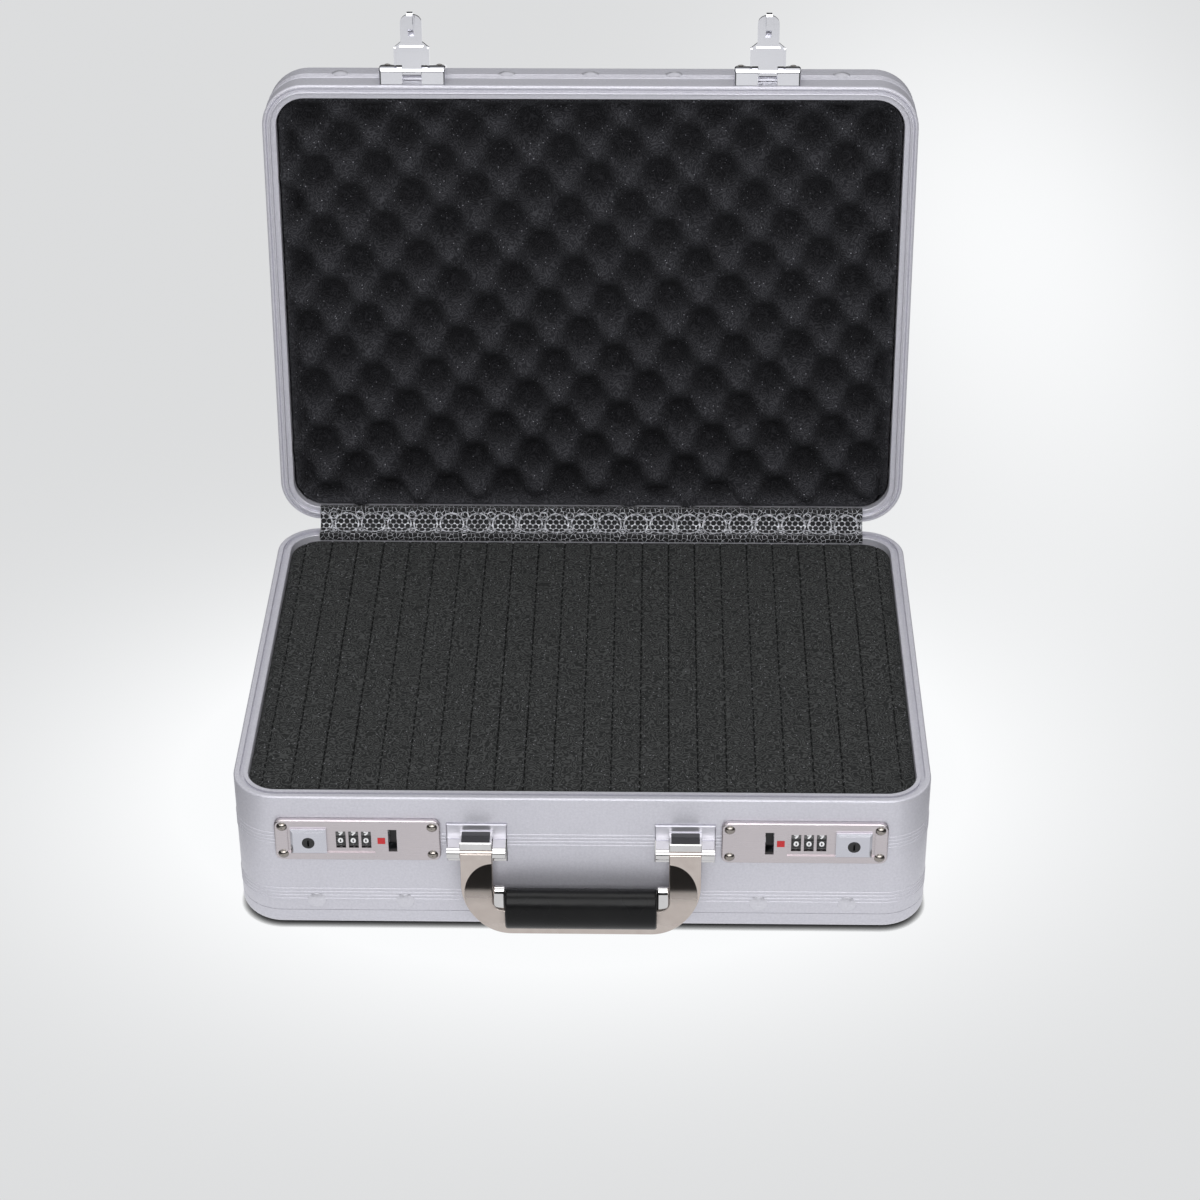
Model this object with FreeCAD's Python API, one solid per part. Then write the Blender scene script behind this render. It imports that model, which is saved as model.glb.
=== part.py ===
import FreeCAD, Part
import math
import os

V = FreeCAD.Vector

# Case shell, all lengths in millimetres. X runs to the right, Y to the back, Z up.
# The origin is the centre of the closed case's footprint, on the surface it lies on.
case_width = 457.0
case_depth = 330.0
base_height = 107.0
lid_height = 51.0
corner_radius = 30.0
lid_open_angle = 97.3

# Rim and wall of the bent aluminium extrusion, the same section round base and lid
wall = 1.8
rim_width = 9.6
rim_gap = 0.4
bead_radius = 1.5
groove_start = 3.8
groove_width = 2.8
groove_depth = 2.2
flange_thickness = 1.6
inner_step = 0.6
lip_thickness = 1.4
lip_depth = 8.0
lip_round = 0.6
tongue_width = 1.4
tongue_height = 1.6
crease_start = 2.2
crease_width = 1.0
crease_depth = 0.8

# Ribbed bands rolled into the walls
rib_proud = 0.3
rib_flat = 0.7
band_height = 10.5
rib_count = 4
mid_band_drop = 29.0
low_band_rise = 21.5

# Pressed pan that closes the base and the lid
pan_thickness = 1.2
pan_seam = 13.5
pan_round = 8.0
pan_flange_top = 28.0
pan_fit = 0.05
seam_gap = 0.3

# Domed rivets that join pan and frame
rivet_end_x = 53.0
rivet_end_y = 48.0
rivet_rise = 21.8
rivet_head_radius = 5.95
rivet_dome = 1.6
rivet_shank_radius = 2.4
rivet_tail_radius = 3.8
rivet_tail = 1.0
front_rivets = 7
side_rivets = 5
running_fit = 0.05

# Full-length hinge behind the rear walls
axis_back = 4.0
barrel_radius = 3.2
hinge_pin_radius = 1.2
leaf_thickness = 1.5
leaf_band_clear = 0.5
leaf_clear = 0.7
hinge_end = 48.5
knuckle_count = 11
knuckle_gap = 0.3
leaf_rivet_radius = 2.6
leaf_rivet_dome = 1.1
leaf_rivet_shank = 1.4
leaf_rivet_count = 6
leaf_rivet_inset = 3.6

# Stop brackets beside the hinge, which hold the lid open
stop_width = 13.0
stop_space = 4.0
stop_thickness = 2.5
stop_reach = 12.0
stop_rivet_room = 6.9
stop_touch = 0.1

# Foams
foam_margin = 10.0
foam_seat = 0.3
pad_thickness = 10.0
foam_drop = 5.7
foam_clear = 0.6
cube_pitch = 19.05
slit_width = 0.8
slit_depth = 1.2
crate_pitch = 31.6
crate_turn = 38.7
crate_lean = 2.3
crate_shift_u = -7.1
crate_shift_v = 5.1
crate_margin = 10.9
crate_height = 24.5
crate_drop = 1.0
crate_base_share = 0.48
crate_tip_share = 0.22
crate_edge_share = 0.4

# Cloth strip over the hinge
strip_end = 28.6
strip_thickness = 0.8
strip_rest = 0.1
strip_lid_gap = 0.4
strip_round = 5.0
strip_tuck = 4.8
strip_lid_tuck = 3.5

# Hasps on the lid's front wall
hasp_axis_out = 8.4
hasp_axis_rise = 6.0
hasp_barrel_radius = 4.1
hasp_pin_radius = 1.5
bracket_width = 46.0
bracket_gap = 13.5
bracket_start = 2.0
bracket_end = 27.0
bracket_front_height = 12.0
bracket_flat_end = 9.0
bracket_rear_height = 8.0
bracket_rear_drop = 2.0
bracket_round = 3.0
bracket_side_round = 1.5
bracket_notch = 13.5
screw_spacing = 36.3
screw_rise = 18.0
screw_seat = 8.6
screw_head_radius = 3.5
screw_head = 1.8
screw_shank_radius = 1.6
screw_tail_radius = 2.6
screw_tail = 1.0
seat_clear = 0.2
hasp_plate_thickness = 2.0
hasp_wide = 24.6
hasp_wide_start = 5.0
hasp_wide_end = 17.0
hasp_shoulder_end = 21.0
hasp_narrow = 15.0
hasp_tip = 40.0
hasp_tip_round = 6.0
hasp_turned_edge = 1.4
hasp_turned_depth = 1.8
leaf_root_width = 12.0
leaf_end_width = 16.4
leaf_length = 18.0
leaf_depth = 2.2
fin_thickness = 4.0
fin_depth = 10.5
fin_root = 25.0
fin_face_start = 29.9
fin_face_depth = 3.4
fin_throat = 31.0
fin_throat_depth = 7.0
fin_near = 32.6
fin_tip = 43.6
fin_tip_chamfer = 1.5
fin_back_depth = 5.0
fin_back_start = 39.5
notch_depth = 1.7
notch_margin = 0.7

# Locks on the base's front wall
lock_end = 28.5
lock_width = 108.3
slot_place = 31.2
lock_drop = 16.5
lock_height = 32.5
lock_corner = 5.0
lock_thickness = 3.1
lock_bevel = 1.2
lock_rivet_inset = 5.2
lock_rivet_radius = 3.5
lock_rivet_dome = 2.0
lock_rivet_shank = 1.5
lock_rivet_tail_radius = 2.6
lock_rivet_tail = 0.9
lock_floor = 1.1
lock_pocket = 1.0
recess_start = 11.6
recess_width = 57.0
recess_height = 20.0
slot_width = 5.7
slot_height = 17.8
slot_rise = 0.2
window_width = 6.4
window_height = 13.3
dial_first = 17.3
dial_pitch = 8.3
dial_width = 6.0
dial_radius = 9.0
dial_proud = 1.7
dial_faces = 10
dial_notch_radius = 0.7
dial_notch_depth = 0.35
shaft_radius = 1.5
indicator_place = 7.3
indicator_size = 5.0
indicator_proud = 0.1
housing_start = 9.5
housing_width = 88.5
housing_height = 26.0
housing_wall = 1.0
housing_back_clear = 0.4
opening_clear = 0.5

# Slide button, catch bar and key barrel
slide_start = 43.1
slide_width = 23.5
slide_height = 19.7
slide_proud = 3.0
slide_lift = 0.1
slide_bevel = 1.8
slide_out_travel = 1.8
slide_in_travel = 4.5
neck_inset = 5.0
neck_height = 10.0
guide_clear = 0.2
bar_thickness = 1.2
bar_lift = 0.3
bar_top_clear = 0.3
bar_height = 3.2
bar_plate_inset = 2.0
bar_arm_width = 3.3
bar_arm_back = 2.3
nose_length = 4.0
nose_rise = 0.0
nose_clear = 0.4
tab_width = 1.2
tab_height = 2.6
tab_depth = 3.5
tab_clear = 0.3
key_radius = 4.1
key_proud = 0.4
key_length = 11.5
key_slot_width = 1.2
key_slot_height = 5.0
key_slot_depth = 3.0

# Ejector behind each hook slot, and the springs
ejector_width = 5.0
ejector_height = 14.5
ejector_thickness = 3.0
ejector_clear = 0.5
ejector_travel = 2.4
guide_thickness = 1.2
ejector_coil_radius = 1.4
ejector_coil_turns = 4
slide_coil_radius = 1.15
slide_coil_turns = 9
spring_post = 1.3
spring_length = 15.0
spring_wire_radius = 0.25
spring_touch = 0.05

# Handle and its brackets
handle_lock_gap = 3.95
bracket_plate_width = 39.5
bracket_plate_drop = 20.0
bracket_plate_height = 30.3
bracket_plate_thickness = 1.5
bracket_plate_bevel = 0.6
handle_axis_out = 9.0
handle_axis_drop = 36.9
handle_barrel_radius = 4.4
handle_pin_radius = 1.8
lug_width = 8.3
lug_top_drop = 31.7
lug_foot_drop = 41.3
cap_drop = 25.0
cap_height = 6.2
cap_reach = 15.3
cap_round = 1.2
arm_place = 10.6
arm_width = 21.0
arm_side_gap = 0.3
arm_rise = 2.0
frame_back = 6.0
frame_front = 14.0
frame_round = 1.2
handle_drop = 101.6
corner_wide = 33.0
corner_tall = 40.0
corner_small_radius = 28.0
bar_tall = 19.6
inner_corner = 8.0
collar_length = 7.8
grip_centre_out = 13.2
grip_centre_drop = 80.2
grip_half_tall = 15.2
grip_half_deep = 10.0
grip_round = 1.6
collar_centre_out = 9.5
collar_centre_drop = 74.5
collar_half_tall = 9.8
collar_half_deep = 4.4
collar_round = 1.2
handle_screw_inset = 5.0
handle_screw_drop = 26.0
handle_screw_radius = 1.5
handle_screw_head_radius = 3.2
handle_screw_head = 1.5

# Overrun of every cut, and the tolerance for picking edges
overrun = 1.0
near = 0.001

# Values worked out from the sizes above
half_width = case_width / 2
front_y = -case_depth / 2
rear_y = case_depth / 2
axis_y = rear_y + axis_back
rivet_pitch_x = 2 * (half_width - rivet_end_x) / (front_rivets - 1)
rivet_pitch_y = 2 * (rear_y - rivet_end_y) / (side_rivets - 1)
hinge_length = case_width - 2 * hinge_end
leaf_height = lid_height - low_band_rise - band_height - leaf_band_clear
leaf_rivet_drop = leaf_height - leaf_rivet_inset
stop_drop = leaf_rivet_drop - stop_rivet_room
strip_width = case_width - 2 * strip_end
lock_inner = half_width - lock_end - lock_width
hasp_x = lock_inner + slot_place
handle_bracket_x = lock_inner - handle_lock_gap - bracket_plate_width / 2
arm_outer = handle_bracket_x + arm_place
grip_half_length = arm_outer - arm_width - collar_length
axis_z = base_height
rib_y = front_y - rib_proud
lock_z = base_height - lock_drop - lock_height / 2
lock_face_y = rib_y - lock_thickness
floor_y = lock_face_y + lock_floor
dial_y = floor_y - dial_proud + dial_radius
housing_back_y = dial_y + dial_radius + housing_back_clear
bar_front_y = rib_y + bar_lift
bar_back_y = bar_front_y + bar_thickness
hasp_axis_y = front_y - hasp_axis_out
hasp_axis_z = base_height + hasp_axis_rise
fin_tip_y = hasp_axis_y + hasp_plate_thickness / 2 + fin_depth
ejector_y = fin_tip_y + ejector_clear
housing_inner_z = lock_z + housing_height / 2 - housing_wall
bar_top_z = housing_inner_z - bar_top_clear
nose_top_z = hasp_axis_z - (fin_near + fin_tip - nose_length) / 2
handle_axis_y = front_y - handle_axis_out
handle_axis_z = base_height - handle_axis_drop


def box(x0, x1, y0, y1, z0, z1):
    return Part.makeBox(x1 - x0, y1 - y0, z1 - z0, V(x0, y0, z0))


def rod_x(x0, x1, y, z, radius):
    return Part.makeCylinder(radius, x1 - x0, V(x0, y, z), V(1, 0, 0))


def rod_y(y0, y1, x, z, radius):
    return Part.makeCylinder(radius, y1 - y0, V(x, y0, z), V(0, 1, 0))


def outline(points, place):
    """Face inside a closed outline. A point of four numbers is an arc's middle and its end."""
    last = points[0]
    edges = []
    for point in list(points[1:]) + [points[0]]:
        here, there = place(*last[-2:]), place(*point[-2:])
        if len(point) == 4:
            edges.append(Part.Arc(here, place(*point[:2]), there).toShape())
        elif here.distanceToPoint(there) > 0:
            edges.append(Part.LineSegment(here, there).toShape())
        last = point
    return Part.Face(Part.Wire(edges))


def arc_to(a, b, radius, middle, end):
    """Middle and end of an arc about (a, b), from two angles in degrees."""
    points = []
    for angle in (middle, end):
        points.append(a + radius * math.cos(math.radians(angle)))
        points.append(b + radius * math.sin(math.radians(angle)))
    return tuple(points)


def along_x(points, x0, x1):
    """Solid with an outline of (y, z) points, from x0 to x1."""
    face = outline(points, lambda y, z: V(x0, y, z))
    return face.extrude(V(x1 - x0, 0, 0))


def along_y(points, y0, y1):
    """Solid with an outline of (x, z) points, from y0 to y1."""
    face = outline(points, lambda x, z: V(x, y0, z))
    return face.extrude(V(0, y1 - y0, 0))


def turned(points, centre, direction):
    """Solid of revolution from (radius, distance) points about an axis."""
    face = outline(points, lambda r, u: V(r, 0, u))
    solid = face.revolve(V(0, 0, 0), V(0, 0, 1), 360)
    solid.Placement = FreeCAD.Placement(centre, FreeCAD.Rotation(V(0, 0, 1), direction))
    return solid


def dome(radius, base, rise):
    """Points of a spherical head, from its top on the axis down to its edge at base."""
    sphere = (radius**2 + rise**2) / (2 * rise)
    half = math.asin(radius / sphere) / 2
    centre = base + rise - sphere
    return [
        (0, base + rise),
        (sphere * math.sin(half), centre + sphere * math.cos(half), radius, base),
    ]


def joined(shapes):
    return shapes[0].fuse(shapes[1:]).removeSplitter()


def mirrored(shape):
    return shape.mirror(V(0, 0, 0), V(1, 0, 0))


def edges_on(shape, axis, value):
    """Edges that lie in one plane across an axis, given as 'X', 'Y' or 'Z'."""
    picked = []
    for edge in shape.Edges:
        low = getattr(edge.BoundBox, axis + "Min")
        high = getattr(edge.BoundBox, axis + "Max")
        if abs(low - value) < near and abs(high - value) < near:
            picked.append(edge)
    return picked


def lid_pose(shape):
    """The same shape carried back with the open lid."""
    moved = shape.copy()
    moved.rotate(V(0, axis_y, axis_z), V(1, 0, 0), -lid_open_angle)
    return moved


def save(name, shape):
    shape.exportStep("parts/" + name + ".step")


def save_pair(name, right_shape):
    save(name + "_right", right_shape)
    save(name + "_left", mirrored(right_shape))


# Rings and slabs that follow the rounded plan of the case
def ring(points):
    """Closed band round the case, from (distance inside the wall, height) points."""
    run_x = half_width - corner_radius
    run_y = rear_y - corner_radius
    front = outline(points, lambda o, z: V(-run_x, front_y + o, z)).OuterWire
    side = outline(points, lambda o, z: V(half_width - o, -run_y, z)).OuterWire
    corner = outline(points, lambda o, z: V(run_x, front_y + o, z)).OuterWire
    front_skin = front.extrude(V(2 * run_x, 0, 0))
    side_skin = side.extrude(V(0, 2 * run_y, 0))
    corner_skin = corner.revolve(V(run_x, -run_y, 0), V(0, 0, 1), 90)
    back_skin = front_skin.mirror(V(0, 0, 0), V(0, 1, 0))
    back_corner = corner_skin.mirror(V(0, 0, 0), V(0, 1, 0))
    right = [corner_skin, side_skin, back_corner]
    faces = []
    for skin in [front_skin, back_skin] + right + [mirrored(piece) for piece in right]:
        faces += skin.Faces
    shell = Part.makeShell(faces)
    shell.sewShape()
    solid = Part.makeSolid(shell)
    if solid.Volume < 0:
        solid.reverse()
    return solid


def slab(inset, z0, z1):
    """Rounded plate over the whole plan, a distance inside the walls."""
    x = half_width - inset
    y = rear_y - inset
    radius = max(corner_radius - inset, corner_radius / 10)
    plan = [
        (-x + radius, -y),
        (x - radius, -y),
        arc_to(x - radius, -y + radius, radius, -45, 0),
        (x, y - radius),
        arc_to(x - radius, y - radius, radius, 45, 90),
        (-x + radius, y),
        arc_to(-x + radius, y - radius, radius, 135, 180),
        (-x, -y + radius),
        arc_to(-x + radius, -y + radius, radius, 225, 270),
    ]
    return outline(plan, lambda a, b: V(a, b, z0)).extrude(V(0, 0, z1 - z0))


def ribbed(low, high):
    """Points of one ribbed band on the outer side of a wall, from low to high."""
    step = (abs(high - low) + rib_flat) / rib_count
    slope = min(rib_proud, (step - rib_flat) / 3)
    rising = 1 if high > low else -1
    points = []
    for rib in range(rib_count):
        start = low + rising * step * rib
        end = start + rising * (step - rib_flat)
        points.append((0, start))
        points.append((-rib_proud, start + rising * slope))
        points.append((-rib_proud, end - rising * slope))
        points.append((0, end))
    return points


# Base and lid frames
def base_frame_section():
    top = base_height - rim_gap / 2
    bottom = pan_seam + seam_gap
    groove_end = groove_start + groove_width
    step_z = top - inner_step
    under = top - groove_depth - flange_thickness
    points = [(0, bottom)]
    points += ribbed(low_band_rise, low_band_rise + band_height)
    points += ribbed(base_height - mid_band_drop - band_height, base_height - mid_band_drop)
    points += [
        (0, top - bead_radius),
        arc_to(bead_radius, top - bead_radius, bead_radius, 135, 90),
        (groove_start, top),
        (groove_start, top - groove_depth),
        (groove_end, top - groove_depth),
        (groove_end, step_z),
        (rim_width - lip_round, step_z),
        arc_to(rim_width - lip_round, step_z - lip_round, lip_round, 45, 0),
        (rim_width, top - lip_depth),
        (rim_width - lip_thickness, top - lip_depth),
        (rim_width - lip_thickness, under),
        (wall, under),
        (wall, bottom),
    ]
    return points


def lid_frame_section():
    top = base_height + lid_height
    rim = base_height + rim_gap / 2
    end = top - pan_seam - seam_gap
    tongue_start = groove_start + (groove_width - tongue_width) / 2
    tongue_end = tongue_start + tongue_width
    tip = rim - tongue_height
    tip_radius = tongue_width / 2
    crease_end = crease_start + crease_width
    step_z = rim + inner_step
    under = rim + groove_depth + flange_thickness
    points = [(0, end)]
    points += ribbed(top - low_band_rise, top - low_band_rise - band_height)
    points += [
        (0, rim + bead_radius),
        arc_to(bead_radius, rim + bead_radius, bead_radius, 225, 270),
        (crease_start, rim),
        (crease_start + crease_width / 2, rim + crease_depth),
        (crease_end, rim),
        (tongue_start, rim),
        (tongue_start, tip + tip_radius),
        arc_to(tongue_start + tip_radius, tip + tip_radius, tip_radius, 270, 360),
        (tongue_end, step_z),
        (rim_width - lip_round, step_z),
        arc_to(rim_width - lip_round, step_z + lip_round, lip_round, 315, 360),
        (rim_width, rim + lip_depth),
        (rim_width - lip_thickness, rim + lip_depth),
        (rim_width - lip_thickness, under),
        (wall, under),
        (wall, end),
    ]
    return points


def pan():
    """Pressed pan, lying with its outer face on Z = 0."""
    inner = wall + pan_fit
    shelf = pan_seam - pan_thickness
    flat = pan_round + pan_thickness
    section = [
        (inner, pan_flange_top),
        (inner, pan_seam),
        (0, pan_seam),
        (0, pan_round),
        arc_to(pan_round, pan_round, pan_round, 225, 270),
        (flat, 0),
        (flat, pan_thickness),
        (pan_round, pan_thickness),
        arc_to(pan_round, pan_round, pan_round - pan_thickness, 225, 180),
        (pan_thickness, shelf),
        (inner + pan_thickness, shelf),
        (inner + pan_thickness, pan_flange_top),
    ]
    return joined([ring(section), slab(flat, 0, pan_thickness)])


def rivet_spots(skipped):
    """Place and outward direction of each rivet, with the front ones at skipped left out."""
    spots = []
    for number in range(front_rivets):
        x = (number - (front_rivets - 1) / 2) * rivet_pitch_x
        spots.append((x, rear_y, V(0, 1, 0)))
        if all(abs(x - other) > rivet_pitch_x / 2 for other in skipped):
            spots.append((x, front_y, V(0, -1, 0)))
    for number in range(side_rivets):
        y = (number - (side_rivets - 1) / 2) * rivet_pitch_y
        spots.append((half_width, y, V(1, 0, 0)))
        spots.append((-half_width, y, V(-1, 0, 0)))
    return spots


def rivet(x, y, z, direction):
    """Domed head on the ribs, shank through wall and pan, and the tail spread inside."""
    depth = wall + pan_fit + pan_thickness
    section = dome(rivet_head_radius, rib_proud, rivet_dome) + [
        (rivet_shank_radius, rib_proud),
        (rivet_shank_radius, -depth),
        (rivet_tail_radius, -depth),
        (rivet_tail_radius, -depth - rivet_tail),
        (0, -depth - rivet_tail),
    ]
    return turned(section, V(x, y, z), direction)


def rivet_holes(z, skipped):
    radius = rivet_shank_radius + running_fit
    depth = wall + pan_fit + pan_thickness + overrun
    holes = []
    for x, y, direction in rivet_spots(skipped):
        start = V(x, y, z) - direction * depth
        holes.append(Part.makeCylinder(radius, depth + overrun, start, direction))
    return holes


def build_shells():
    hidden = [hasp_x, -hasp_x]
    lid_top = base_height + lid_height
    lid_rivet_z = lid_top - rivet_rise
    base_holes = rivet_holes(rivet_rise, [])
    lid_holes = rivet_holes(lid_rivet_z, hidden)

    base_frame = ring(base_frame_section()).cut(base_holes + lock_openings() + rear_holes(False))
    save("base_frame", base_frame)
    save("base_pan", pan().cut(base_holes))
    rivets = [rivet(x, y, rivet_rise, way) for x, y, way in rivet_spots([])]
    save("base_rivets", Part.Compound(rivets))

    screw_holes = hasp_screw_holes(screw_shank_radius + running_fit)
    tail_holes = hasp_screw_holes(screw_tail_radius + running_fit)
    lid_frame = ring(lid_frame_section()).cut(lid_holes + screw_holes + rear_holes(True))
    save("lid_frame", lid_pose(lid_frame))
    lid_pan = pan().mirror(V(0, 0, lid_top / 2), V(0, 0, 1))
    save("lid_pan", lid_pose(lid_pan.cut(lid_holes + tail_holes)))
    rivets = [rivet(x, y, lid_rivet_z, way) for x, y, way in rivet_spots(hidden)]
    save("lid_rivets", lid_pose(Part.Compound(rivets)))


# Hinge, its rivets and the stop brackets
def leaf_rivet_places():
    step = hinge_length / leaf_rivet_count
    return [(number + 0.5) * step - hinge_length / 2 for number in range(leaf_rivet_count)]


def stop_places():
    centre = hinge_length / 2 + stop_space + stop_width / 2
    return [-centre, centre]


def hinge_leaf(rising):
    """One leaf with its share of the knuckles, rising to the lid or hanging to the base."""
    sign = 1 if rising else -1
    knuckle = hinge_length / knuckle_count
    plate_start = barrel_radius + leaf_clear
    ends = sorted([base_height + sign * plate_start, base_height + sign * leaf_height])
    web = sorted([base_height, base_height + sign * plate_start])
    back = rear_y + leaf_thickness
    pieces = [box(-hinge_length / 2, hinge_length / 2, rear_y, back, ends[0], ends[1])]
    for number in range(1 if rising else 0, knuckle_count, 2):
        x0 = number * knuckle - hinge_length / 2 + knuckle_gap / 2
        x1 = x0 + knuckle - knuckle_gap
        pieces.append(box(x0, x1, rear_y, back, web[0], web[1]))
        pieces.append(rod_x(x0, x1, axis_y, axis_z, barrel_radius))
    leaf = joined(pieces)
    bore = rod_x(-half_width, half_width, axis_y, axis_z, hinge_pin_radius + running_fit)
    z = base_height + sign * leaf_rivet_drop
    radius = leaf_rivet_shank + running_fit
    holes = [rod_y(rear_y - overrun, back + overrun, x, z, radius) for x in leaf_rivet_places()]
    return leaf.cut([bore] + holes)


def small_rivet(x, z, grip):
    """Rivet of a hinge leaf or stop bracket, with the thickness it holds outside the wall."""
    section = dome(leaf_rivet_radius, grip, leaf_rivet_dome) + [
        (leaf_rivet_shank, grip),
        (leaf_rivet_shank, -wall),
        (leaf_rivet_radius, -wall),
        (leaf_rivet_radius, -wall - leaf_rivet_dome),
        (0, -wall - leaf_rivet_dome),
    ]
    return turned(section, V(x, rear_y, z), V(0, 1, 0))


def rear_holes(in_lid):
    """Holes in a rear wall for the leaf rivets and the stop rivets."""
    sign = 1 if in_lid else -1
    radius = leaf_rivet_shank + running_fit
    inside = rear_y - wall - overrun
    outside = rear_y + overrun
    leaf_z = base_height + sign * leaf_rivet_drop
    holes = [rod_y(inside, outside, x, leaf_z, radius) for x in leaf_rivet_places()]
    if not in_lid:
        holes += [rod_y(inside, outside, x, leaf_z, radius) for x in stop_places()]
    return holes


def stop_bracket(x):
    """Angle bracket whose heel stands under the open lid's rear wall."""
    lean = math.radians(lid_open_angle - 90)
    heel_y = rear_y + stop_reach
    post_y = heel_y - stop_thickness
    foot_z = base_height - stop_drop

    def under_lid(y):
        return axis_z + (axis_back - stop_touch) / math.cos(lean) - (y - axis_y) * math.tan(lean)

    section = [
        (rear_y, base_height - leaf_height),
        (rear_y + leaf_thickness, base_height - leaf_height),
        (rear_y + leaf_thickness, foot_z - stop_thickness),
        (heel_y, foot_z - stop_thickness),
        (heel_y, under_lid(heel_y)),
        (post_y, under_lid(post_y)),
        (post_y, foot_z),
        (rear_y, foot_z),
    ]
    solid = along_x(section, x - stop_width / 2, x + stop_width / 2)
    radius = leaf_rivet_shank + running_fit
    z = base_height - leaf_rivet_drop
    return solid.cut(rod_y(rear_y - overrun, rear_y + leaf_thickness + overrun, x, z, radius))


def build_hinge():
    save("hinge_leaf_base", hinge_leaf(False))
    save("hinge_leaf_lid", lid_pose(hinge_leaf(True)))
    save("hinge_pin", rod_x(-hinge_length / 2, hinge_length / 2, axis_y, axis_z, hinge_pin_radius))
    low = base_height - leaf_rivet_drop
    high = base_height + leaf_rivet_drop
    places = leaf_rivet_places() + stop_places()
    base_side = [small_rivet(x, low, leaf_thickness) for x in places]
    lid_side = [small_rivet(x, high, leaf_thickness) for x in leaf_rivet_places()]
    save("hinge_rivets_base", Part.Compound(base_side))
    save("hinge_rivets_lid", lid_pose(Part.Compound(lid_side)))
    save("lid_stops", Part.Compound([stop_bracket(x) for x in stop_places()]))


# Cloth strip, bent along the crease between the two rims
def build_strip():
    lean_turn = lid_open_angle - 90
    lean = math.radians(lean_turn)
    low_z = base_height - rim_gap / 2 + strip_rest
    high_z = low_z + strip_thickness
    rim_out = strip_lid_gap - rim_gap / 2 + tongue_height
    top_run = axis_back + rim_width + strip_rest
    edge_y = rear_y - rim_width - strip_rest
    corner = strip_thickness / math.sqrt(2)

    def on_lid(run, out):
        y = axis_y + run * math.sin(lean) - out * math.cos(lean)
        z = axis_z + run * math.cos(lean) + out * math.sin(lean)
        return (y, z)

    near_rim = on_lid(top_run, rim_out)
    far_rim = on_lid(top_run, rim_out + strip_thickness)
    bend_y = near_rim[0] - (near_rim[1] - low_z) * math.tan(lean)
    inner_bend = bend_y - strip_thickness
    outer_radius = strip_round + strip_thickness
    section = [
        (edge_y, low_z - strip_tuck),
        (edge_y, low_z),
        (bend_y - outer_radius, low_z),
        arc_to(bend_y - outer_radius, low_z + outer_radius, outer_radius, -(90 + lean_turn) / 2, -lean_turn),
        near_rim,
        on_lid(top_run, -strip_lid_tuck),
        on_lid(top_run + strip_thickness, -strip_lid_tuck),
        on_lid(top_run + strip_thickness, rim_out),
        on_lid(top_run + corner, rim_out + corner) + far_rim,
        (inner_bend + math.tan(lean) * strip_round, high_z + strip_round),
        arc_to(inner_bend - strip_round, high_z + strip_round, strip_round, -45, -90),
        (edge_y, high_z),
        (edge_y - corner, low_z + corner, edge_y - strip_thickness, low_z),
        (edge_y - strip_thickness, low_z - strip_tuck),
    ]
    save("hinge_strip", along_x(section, -strip_width / 2, strip_width / 2))


# Foams
def build_foams():
    pad_z = pan_thickness + foam_seat
    pluck_z = pad_z + pad_thickness + foam_seat
    pluck_top = base_height - foam_drop
    save("base_foam_pad", slab(foam_margin, pad_z, pad_z + pad_thickness))
    pluck = slab(foam_margin, pluck_z, pluck_top)
    cuts = []
    count = int((case_width / 2 - foam_margin) / cube_pitch)
    for number in range(-count, count + 1):
        x = number * cube_pitch
        cuts.append(box(x - slit_width / 2, x + slit_width / 2, front_y, rear_y,
                        pluck_top - slit_depth, pluck_top + overrun))
    for side in (1, -1):
        inner, outer = housing_span()
        ends = sorted([side * (inner - foam_clear), side * (outer + foam_clear)])
        half = housing_height / 2 + foam_clear
        cuts.append(box(ends[0], ends[1], front_y, housing_back_y + housing_wall + foam_clear,
                        lock_z - half, lock_z + half))
    save("base_pluck_foam", pluck.cut(cuts))
    save("lid_foam", lid_pose(crate_foam()))


def crate_peak(x, y, root_z):
    """One peak of the egg-crate foam, pointing down from root_z."""
    base = crate_pitch * crate_base_share
    tip = crate_pitch * crate_tip_share
    centre = crate_height - tip
    slope = math.atan2(centre, base) + math.asin(tip / math.hypot(base, centre))
    section = [
        (0, crate_height),
        (tip * math.sin(slope / 2), centre + tip * math.cos(slope / 2),
         tip * math.sin(slope), centre + tip * math.cos(slope)),
        (base, 0),
        (0, 0),
    ]
    return turned(section, V(x, y, root_z), V(0, 0, -1))


def crate_foam():
    top = base_height + lid_height - pan_thickness - foam_seat
    root_z = base_height + crate_drop + crate_height
    body = slab(crate_margin, root_z, top)
    trim = slab(crate_margin, base_height, top)
    turn = math.radians(crate_turn)
    cross = math.radians(crate_turn + 90 + crate_lean)
    skew = math.sin(cross - turn)
    reach = int(half_width / crate_pitch) + 4
    peaks = []
    for row in range(-reach, reach + 1):
        for column in range(-reach, reach + 1):
            u = column * crate_pitch + crate_shift_u
            v = row * crate_pitch + crate_shift_v
            x = (u * math.sin(cross) - v * math.sin(turn)) / skew
            y = (v * math.cos(turn) - u * math.cos(cross)) / skew
            inside = crate_pitch * crate_edge_share - crate_margin
            if abs(x) < half_width + inside and abs(y) < rear_y + inside:
                peaks += crate_peak(x, y, root_z).common(trim).Solids
    return body.fuse(peaks).removeSplitter()


# Hasps, built folded down on the closed case and then swung out
def hasp_pose(shape):
    moved = shape.copy()
    moved.rotate(V(0, hasp_axis_y, hasp_axis_z), V(1, 0, 0), -90)
    return lid_pose(moved)


def hasp_screw_places():
    return [hasp_x - screw_spacing / 2, hasp_x + screw_spacing / 2]


def hasp_screw_holes(radius):
    z = base_height + screw_rise
    y0 = front_y - overrun
    y1 = front_y + wall + pan_fit + pan_thickness + overrun
    return [rod_y(y0, y1, side * x, z, radius) for x in hasp_screw_places() for side in (1, -1)]


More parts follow.
